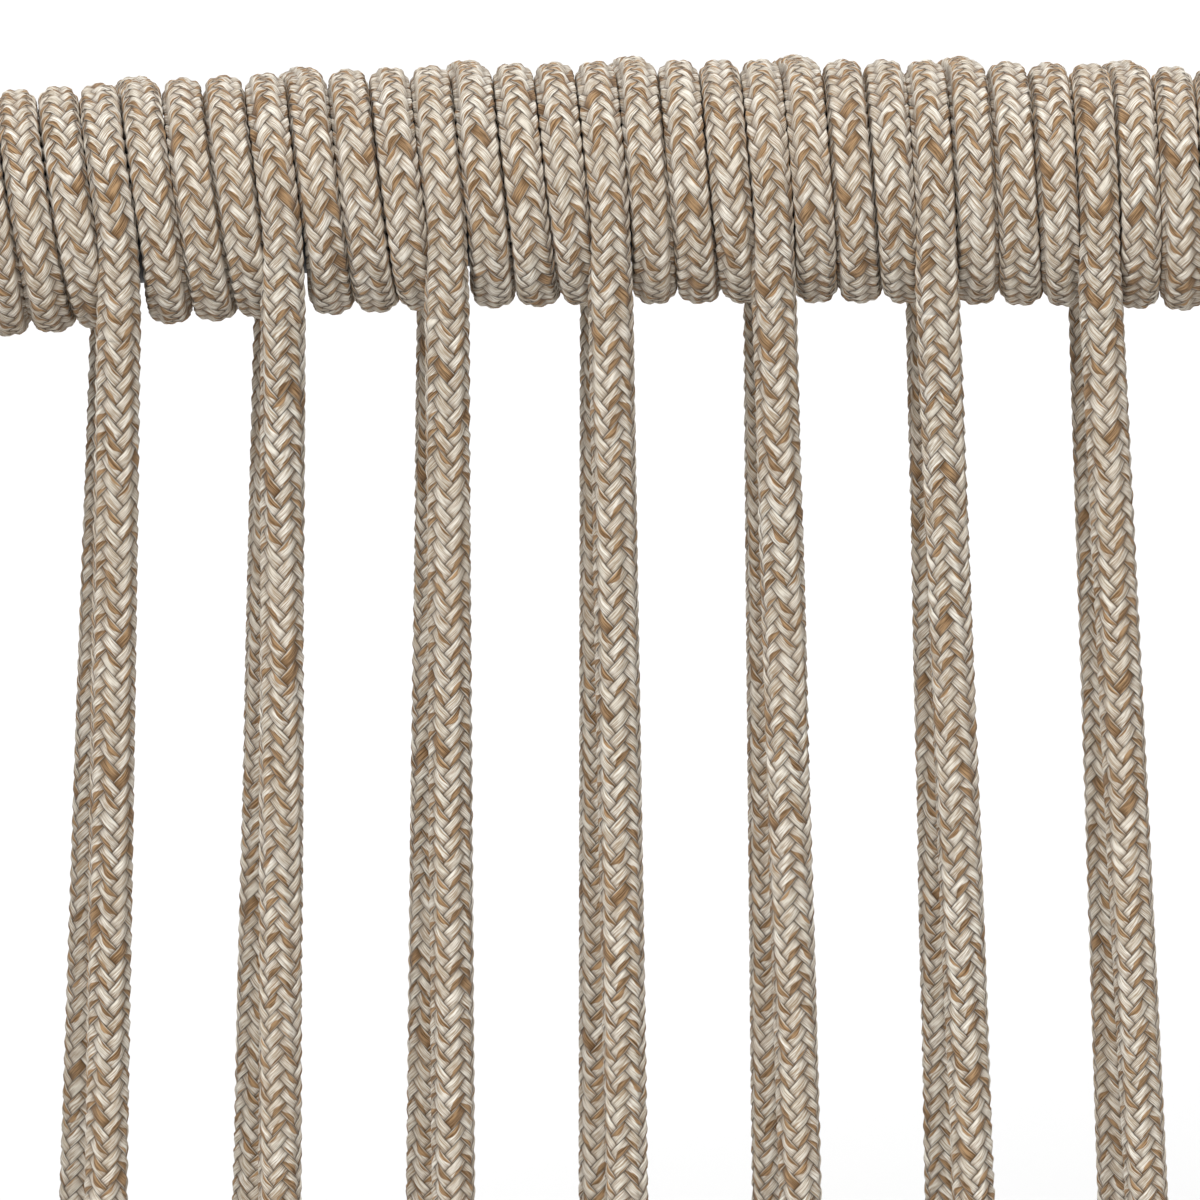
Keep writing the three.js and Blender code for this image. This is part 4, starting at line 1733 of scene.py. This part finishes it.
@dataclass(frozen=True)
class Corner:
    """One bolted corner: a plug in the rail, a saddle, a curved washer and a button-head bolt."""

    place: str
    rail: RailLine
    side: Side
    bore: float = BOLT_HOLE
    saddle_radius: float = 13 * MM
    washer_radius: float = 9 * MM
    washer_wall: float = 3 * MM
    plug_radius: float = 10.7 * MM
    plug_length: float = PLUG_LENGTH
    rib_depth: float = 0.5 * MM
    rib_start: float = 0.25  # shares of a rib's width at which its crest starts and ends
    rib_end: float = 0.7
    bolt_radius: float = 3 * MM
    tip_chamfer: float = 0.2
    head_radius: float = 5.5 * MM
    head_height: float = 3.4 * MM
    head_edge: float = 0.25  # share of the head's height that is its upright rim
    crown_radius: float = 0.45  # share of the head's radius that its crown leaves flat
    crown_steps: int = 12
    socket_across: float = 4 * MM
    socket_depth: float = 2 * MM
    edge: float = 0.6 * MM
    rib_edge: float = 0.25 * MM
    bolt_edge: float = 0.15 * MM

    def build(self) -> None:
        """Makes the corner's four pieces."""
        line = UprightLine(self.side)
        place = self.side.value * self.rail.half_length
        origin = Vector(self.rail.at(place))
        out = Vector(self.rail.axes(place)[0]) * self.side.value
        axes = standing(origin, out, line.axis)
        reach = 3 * TUBE.radius
        upright = placed(rod(TUBE.radius + FIT, -reach, reach, CUTTER_ROUND), standing(origin, line.axis))
        rail_end = -rail_end_gap(self.rail)
        face = TUBE.radius + FIT + self.washer_wall

        saddle = placed(ring(self.bore, self.saddle_radius, rail_end + FIT, 0, self.edge), axes)
        saddle = combined(saddle, *cut_by(upright))
        washer = placed(ring(self.bore, self.washer_radius, TUBE.radius / 2, face, self.edge), axes)
        washer = combined(washer, *cut_by(upright.copy()))
        publish(f"saddle_{self.place}", saddle, NYLON)
        publish(f"washer_{self.place}", washer, STEEL)
        publish(f"rail_plug_{self.place}", placed(self._plug(rail_end), axes), NYLON)
        publish(f"bolt_{self.place}", placed(self._bolt(rail_end, face + FIT), axes), STEEL)

    def _plug(self, rail_end: float, ribs: int = 4) -> bpy.types.Mesh:
        """A threaded plug with ribs round it.

        Args:
            rail_end: The rail's end, along the corner's axis.
            ribs: How many ribs it has.

        Returns:
            The mesh.
        """
        start = rail_end - self.plug_length
        outline = [(self.bore, start)]
        for rib in range(ribs):
            low = start + self.plug_length * rib / ribs
            crest, valley = self.plug_radius, self.plug_radius - self.rib_depth
            width = self.plug_length / ribs
            outline.append((valley, low))
            outline += [(crest, low + share * width) for share in (self.rib_start, self.rib_end)]
        outline += [(self.plug_radius - self.rib_depth, rail_end), (self.bore, rail_end)]
        return lathed(rounded(outline, self.rib_edge, steps=2))

    def _bolt(self, rail_end: float, seat: float) -> bpy.types.Mesh:
        """A button-head bolt with a hexagon socket, whose tip ends flush with the plug.

        Args:
            rail_end: The rail's end, along the corner's axis.
            seat: The underside of the bolt's head.

        Returns:
            The mesh.
        """
        tip = rail_end - self.plug_length
        chamfer = self.tip_chamfer * self.bolt_radius
        outline = [(0, tip), (self.bolt_radius - chamfer, tip), (self.bolt_radius, tip + chamfer)]
        outline += [(self.bolt_radius, seat), (self.head_radius, seat)]
        low = seat + self.head_edge * self.head_height
        rise = (1 - self.head_edge) * self.head_height
        for step in range(self.crown_steps + 1):
            angle = math.pi / 2 * step / self.crown_steps
            width = self.crown_radius + (1 - self.crown_radius) * math.cos(angle)
            outline.append((self.head_radius * width, low + rise * math.sin(angle)))
        outline.append((0, seat + self.head_height))
        socket_radius = self.socket_across / math.sqrt(3)
        floor = seat + self.head_height - self.socket_depth
        socket = rod(socket_radius, floor, floor + 2 * self.socket_depth, HEXAGON)
        return combined(lathed(rounded(outline, self.bolt_edge, False, 2)), *cut_by(socket))


@dataclass(frozen=True)
class UprightCap:
    """A domed cap whose spigot fills the top of an upright."""

    side: Side
    spigot_length: float = 12 * MM
    rim: float = 1.5 * MM
    crown: float = 3.5 * MM
    edge: float = 0.4 * MM
    steps: int = 12

    def build(self, frame_tubes: TubeFrame) -> None:
        """Turns the cap.

        Args:
            frame_tubes: The tubes, which say how high the upright is.
        """
        line = UprightLine(self.side)
        top = line.top + line.axis * frame_tubes.upright_rise
        spigot = TUBE.radius - TUBE.wall - FIT
        outline = [(0, -self.spigot_length), (spigot, -self.spigot_length)]
        outline += [(spigot, FIT), (TUBE.radius, FIT)]
        for step in range(self.steps + 1):
            angle = math.pi / 2 * step / self.steps
            height = FIT + self.rim + self.crown * math.sin(angle)
            outline.append((TUBE.radius * math.cos(angle), height))
        outline[-1] = (0, outline[-1][1])
        mesh = placed(lathed(rounded(outline, self.edge, False), ROUND), standing(top, line.axis))
        publish(f"{self.side.word}_top_cap", mesh, NYLON)


@dataclass(frozen=True)
class Foot:
    """A foot: a slotted plate, a socket welded to it, and the set screw that holds the upright."""

    side: Side
    depth: float = 86 * MM
    width: float = 46 * MM
    thickness: float = PLATE_THICKNESS
    corner_radius: float = 8 * MM
    slot_width: float = 9 * MM
    slot_length: float = 15 * MM
    socket_height: float = 46 * MM
    socket_wall: float = 4 * MM
    socket_edge: float = 1.2 * MM
    socket_sides: int = 72
    screw_height: float = 28 * MM
    screw_radius: float = 3 * MM
    screw_length: float = 4.6 * MM
    thread_sides: int = 32
    screw_point: float = 0.8 * MM
    screw_edge: float = 0.25 * MM
    key_across: float = 3 * MM
    key_depth: float = 2 * MM
    bevel: float = 0.8 * MM
    bead_radius: float = 2.1 * MM
    bead_ripples: int = 34
    level: float = 1e-7  # an edge of the plate that rises less than this is level
    ripple_depth: float = 0.13

    def build(self, frame_tubes: TubeFrame) -> None:
        """Makes the foot and its set screw.

        Args:
            frame_tubes: The tubes, which say where the upright ends.
        """
        line = UprightLine(self.side)
        lower = frame_tubes.lower(self.side)
        bore = TUBE.radius + FIT
        outer = bore + self.socket_wall
        upwards = standing(lower, line.axis)
        base = -lower.z / line.axis.z
        top = (self.socket_height - lower.z) / line.axis.z
        blank = rounded([(0, base), (outer, base), (outer, top), (0, top)], self.socket_edge, False)
        socket = placed(lathed(blank, self.socket_sides), upwards)
        inside = placed(rod(bore, -FIT, 2 * top, self.socket_sides), upwards)
        screw_axes = standing(line.at_height(self.screw_height), Vector((0, 1, 0)), line.axis)
        thread = rod(self.screw_radius + FIT, 0, outer + self.screw_radius, self.thread_sides)
        placed(thread, screw_axes)
        middle = Matrix.Translation((lower.x, lower.y, 0))
        under = placed(rod(self.depth, -4 * self.thickness, 0), middle)
        plate = placed(self._plate(), middle)
        bead = placed(self._bead(outer), standing(line.at_height(self.thickness), line.axis))
        mesh = combined(plate, ("UNION", socket), ("UNION", bead), *cut_by(under, inside, thread))
        publish(f"{self.side.word}_foot", mesh, POWDER_COAT)

        end = bore + self.screw_length
        radius, point = self.screw_radius, self.screw_point
        blank = [(0, bore), (radius - point, bore), (radius, bore + point), (radius, end), (0, end)]
        key = rod(self.key_across / math.sqrt(3), end - self.key_depth, end + self.key_depth, HEXAGON)
        screw = placed(combined(lathed(rounded(blank, self.screw_edge, False, 2)), *cut_by(key)), screw_axes)
        publish(f"{self.side.word}_foot_screw", screw, STEEL)

    def _outline(self, steps: int = 10) -> list[tuple[float, float]]:
        """The plate's outline: rounded corners, and a slot open to the front and to the back.

        Args:
            steps: Segments in each quarter circle.

        Returns:
            The outline's points.
        """
        half_width, half_depth, slot = self.width / 2, self.depth / 2, self.slot_width / 2
        centre = half_depth - self.slot_length + slot
        quarter = []
        for step in range(steps + 1):
            angle = math.pi / 2 * step / steps
            across = half_width - self.corner_radius + self.corner_radius * math.cos(angle)
            quarter.append((across, half_depth - self.corner_radius + self.corner_radius * math.sin(angle)))
        quarter.append((slot, half_depth))
        for step in range(steps + 1):
            angle = math.pi / 2 * step / steps
            quarter.append((slot * math.cos(angle), centre - slot * math.sin(angle)))
        mirrored = [(-x, y) for x, y in reversed(quarter[:-1])]
        back = quarter + mirrored
        return back + [(-x, -y) for x, y in back]

    def _plate(self) -> bpy.types.Mesh:
        """The bevelled plate.

        Returns:
            The mesh.
        """
        work = bmesh.new()
        bottom = work.faces.new([work.verts.new((x, y, 0)) for x, y in self._outline()])
        raised = bmesh.ops.extrude_face_region(work, geom=[bottom])["geom"]
        top_points = [item for item in raised if isinstance(item, bmesh.types.BMVert)]
        bmesh.ops.translate(work, verts=top_points, vec=(0, 0, self.thickness))
        bmesh.ops.recalc_face_normals(work, faces=work.faces)
        rims = [edge for edge in work.edges if abs(edge.verts[0].co.z - edge.verts[1].co.z) < self.level]
        bmesh.ops.bevel(work, geom=rims, offset=self.bevel, segments=3, profile=0.5, affect="EDGES")
        mesh = bpy.data.meshes.new("plate")
        work.to_mesh(mesh)
        work.free()
        return tidied(mesh)

    def _bead(self, outer: float, around: int = 272, sides: int = 12) -> bpy.types.Mesh:
        """The rippled weld bead round the socket's base.

        Args:
            outer: The socket's outer radius.
            around: Segments round the socket.
            sides: Segments round the bead.

        Returns:
            The mesh.
        """
        points, faces = [], []
        for step in range(around):
            angle = 2 * math.pi * step / around
            ripple = 1 + self.ripple_depth * abs(math.sin(angle * self.bead_ripples / 2))
            for side in range(sides):
                turn = 2 * math.pi * side / sides
                reach = outer + self.bead_radius * ripple * math.cos(turn)
                height = self.bead_radius * ripple * math.sin(turn)
                points.append((reach * math.cos(angle), reach * math.sin(angle), height))
                here, there = step * sides, (step + 1) % around * sides
                after = (side + 1) % sides
                faces.append((here + side, here + after, there + after, there + side))
        return closed_mesh(points, faces)


@dataclass(frozen=True)
class Grommet:
    """The collar where a rope end enters the bottom rail."""

    side: Side
    bore: float = 4.6 * MM
    barrel: float = 5.4 * MM
    rim: float = 7.6 * MM
    rim_height: float = 2 * MM
    rim_edge: float = 0.9 * MM
    barrel_edge: float = 0.2 * MM

    def build(self, route: Route) -> None:
        """Makes the collar: a rim that fits the rail, and a barrel through the rail's wall.

        Args:
            route: The rope's route, which says where the collar sits.
        """
        place = self.side.value * route.grommet_place
        origin = Vector(BOTTOM_RAIL.at(place))
        up = Vector(BOTTOM_RAIL.around(place, ABOVE, 1.0)) - origin
        tangent = Vector(BOTTOM_RAIL.axes(place)[0])
        axes = standing(origin, up, tangent)
        top = TUBE.radius + FIT + self.rim_height
        rim = placed(ring(self.bore, self.rim, TUBE.radius / 2, top, self.rim_edge), axes)
        start, end = TUBE.radius - TUBE.wall - FIT, top - self.rim_height / 2
        barrel = placed(ring(self.bore, self.barrel, start, end, self.barrel_edge), axes)
        reach = 2 * self.rim
        rail = placed(rod(TUBE.radius + FIT, -reach, reach, CUTTER_ROUND), standing(origin, tangent))
        mesh = combined(rim, ("DIFFERENCE", rail), ("UNION", barrel))
        publish(f"{self.side.word}_rope_grommet", mesh, NYLON)


# ------------------------------------------------------------------------------ the studio


@dataclass(frozen=True)
class Studio:
    """Camera, light and floor."""

    lens: float = 206.93
    sensor: float = 36.0
    yaw: float = math.radians(3.006)
    pitch: float = math.radians(18.658)
    roll: float = math.radians(-0.7085)
    distance: float = 1.22877
    target: tuple[float, float, float] = (0.00849, 0.0, 0.32666)
    floor_size: float = 14.0
    floor_gap: float = 0.5 * MM
    sky: float = 0.45
    softness: float = math.radians(40)
    key_from: tuple[float, float, float] = (-0.4, -0.9, 1.0)
    key_strength: float = 2.5
    back_from: tuple[float, float, float] = (0.4, 0.3, 1.0)
    back_strength: float = 1.6

    def build(self) -> None:
        """Sets up all three."""
        self._camera()
        self._floor()
        self._lights()
        bpy.context.scene.view_settings.view_transform = "Standard"

    def _camera(self) -> None:
        """A long lens from the front, a little above the top rail."""
        flat = math.cos(self.pitch)
        forward = Vector((math.sin(self.yaw) * flat, math.cos(self.yaw) * flat, -math.sin(self.pitch)))
        right = forward.cross(Vector((0, 0, 1))).normalized()
        up = right.cross(forward)
        x_axis = right * math.cos(self.roll) + up * math.sin(self.roll)
        y_axis = up * math.cos(self.roll) - right * math.sin(self.roll)
        data = bpy.data.cameras.new("camera")
        data.lens = self.lens
        data.sensor_width = self.sensor
        data.sensor_height = self.sensor
        data.clip_start = 0.01
        camera = bpy.data.objects.new("camera", data)
        matrix = Matrix((x_axis, y_axis, -forward)).transposed().to_4x4()
        matrix.translation = Vector(self.target) - forward * self.distance
        camera.matrix_world = matrix
        bpy.context.scene.collection.objects.link(camera)
        bpy.context.scene.camera = camera

    def _floor(self) -> None:
        """A white floor under the feet."""
        half = self.floor_size / 2
        mesh = bpy.data.meshes.new("floor")
        corner_points = [(-half, -half, 0), (half, -half, 0), (half, half, 0), (-half, half, 0)]
        mesh.from_pydata(corner_points, [], [(0, 1, 2, 3)])
        mesh.materials.append(FLOOR.material())
        floor = bpy.data.objects.new("floor", mesh)
        floor.location.z = -self.floor_gap
        bpy.context.scene.collection.objects.link(floor)
        floor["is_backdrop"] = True

    def _lights(self) -> None:
        """White surroundings, a soft key light from the front and a weaker one from behind."""
        world = bpy.data.worlds.new("studio")
        world.use_nodes = True
        background = world.node_tree.nodes["Background"]
        background.inputs["Color"].default_value = (1, 1, 1, 1)
        background.inputs["Strength"].default_value = self.sky
        bpy.context.scene.world = world
        self._distant("key", Vector(self.key_from), self.key_strength)
        self._distant("back", Vector(self.back_from), self.back_strength)

    def _distant(self, name: str, place: Vector, strength: float) -> None:
        """A distant soft light, which falls evenly from the side of a place.

        Args:
            name: The light's name.
            place: The side that it shines from.
            strength: Its strength.
        """
        data = bpy.data.lights.new(name, "SUN")
        data.angle = self.softness
        data.energy = strength
        lamp = bpy.data.objects.new(name, data)
        lamp.location = place
        lamp.rotation_euler = (-place).to_track_quat("-Z", "Y").to_euler()
        bpy.context.scene.collection.objects.link(lamp)


# ------------------------------------------------------------------------------ the whole


def corners() -> list[list[float]]:
    """The lowest and highest corners of what is shown, as plain lists."""
    return [list(corner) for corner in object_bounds()]


def main() -> None:
    """Builds the looks from the frame's box to the last fitting."""
    logging.basicConfig(level=logging.INFO, format="%(name)s: %(message)s")
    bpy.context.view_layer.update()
    Studio().build()
    route = Route()
    tubes = TubeFrame()
    tubes.build(route)
    for height, rail in (("top", TOP_RAIL), ("bottom", BOTTOM_RAIL)):
        for side in Side:
            Corner(f"{height}_{side.word}", rail, side).build()
    for side in Side:
        UprightCap(side).build(tubes)
        Foot(side).build(tubes)
        Grommet(side).build(route)
    LacedRope(route).build()


if __name__ == "__main__":
    main()
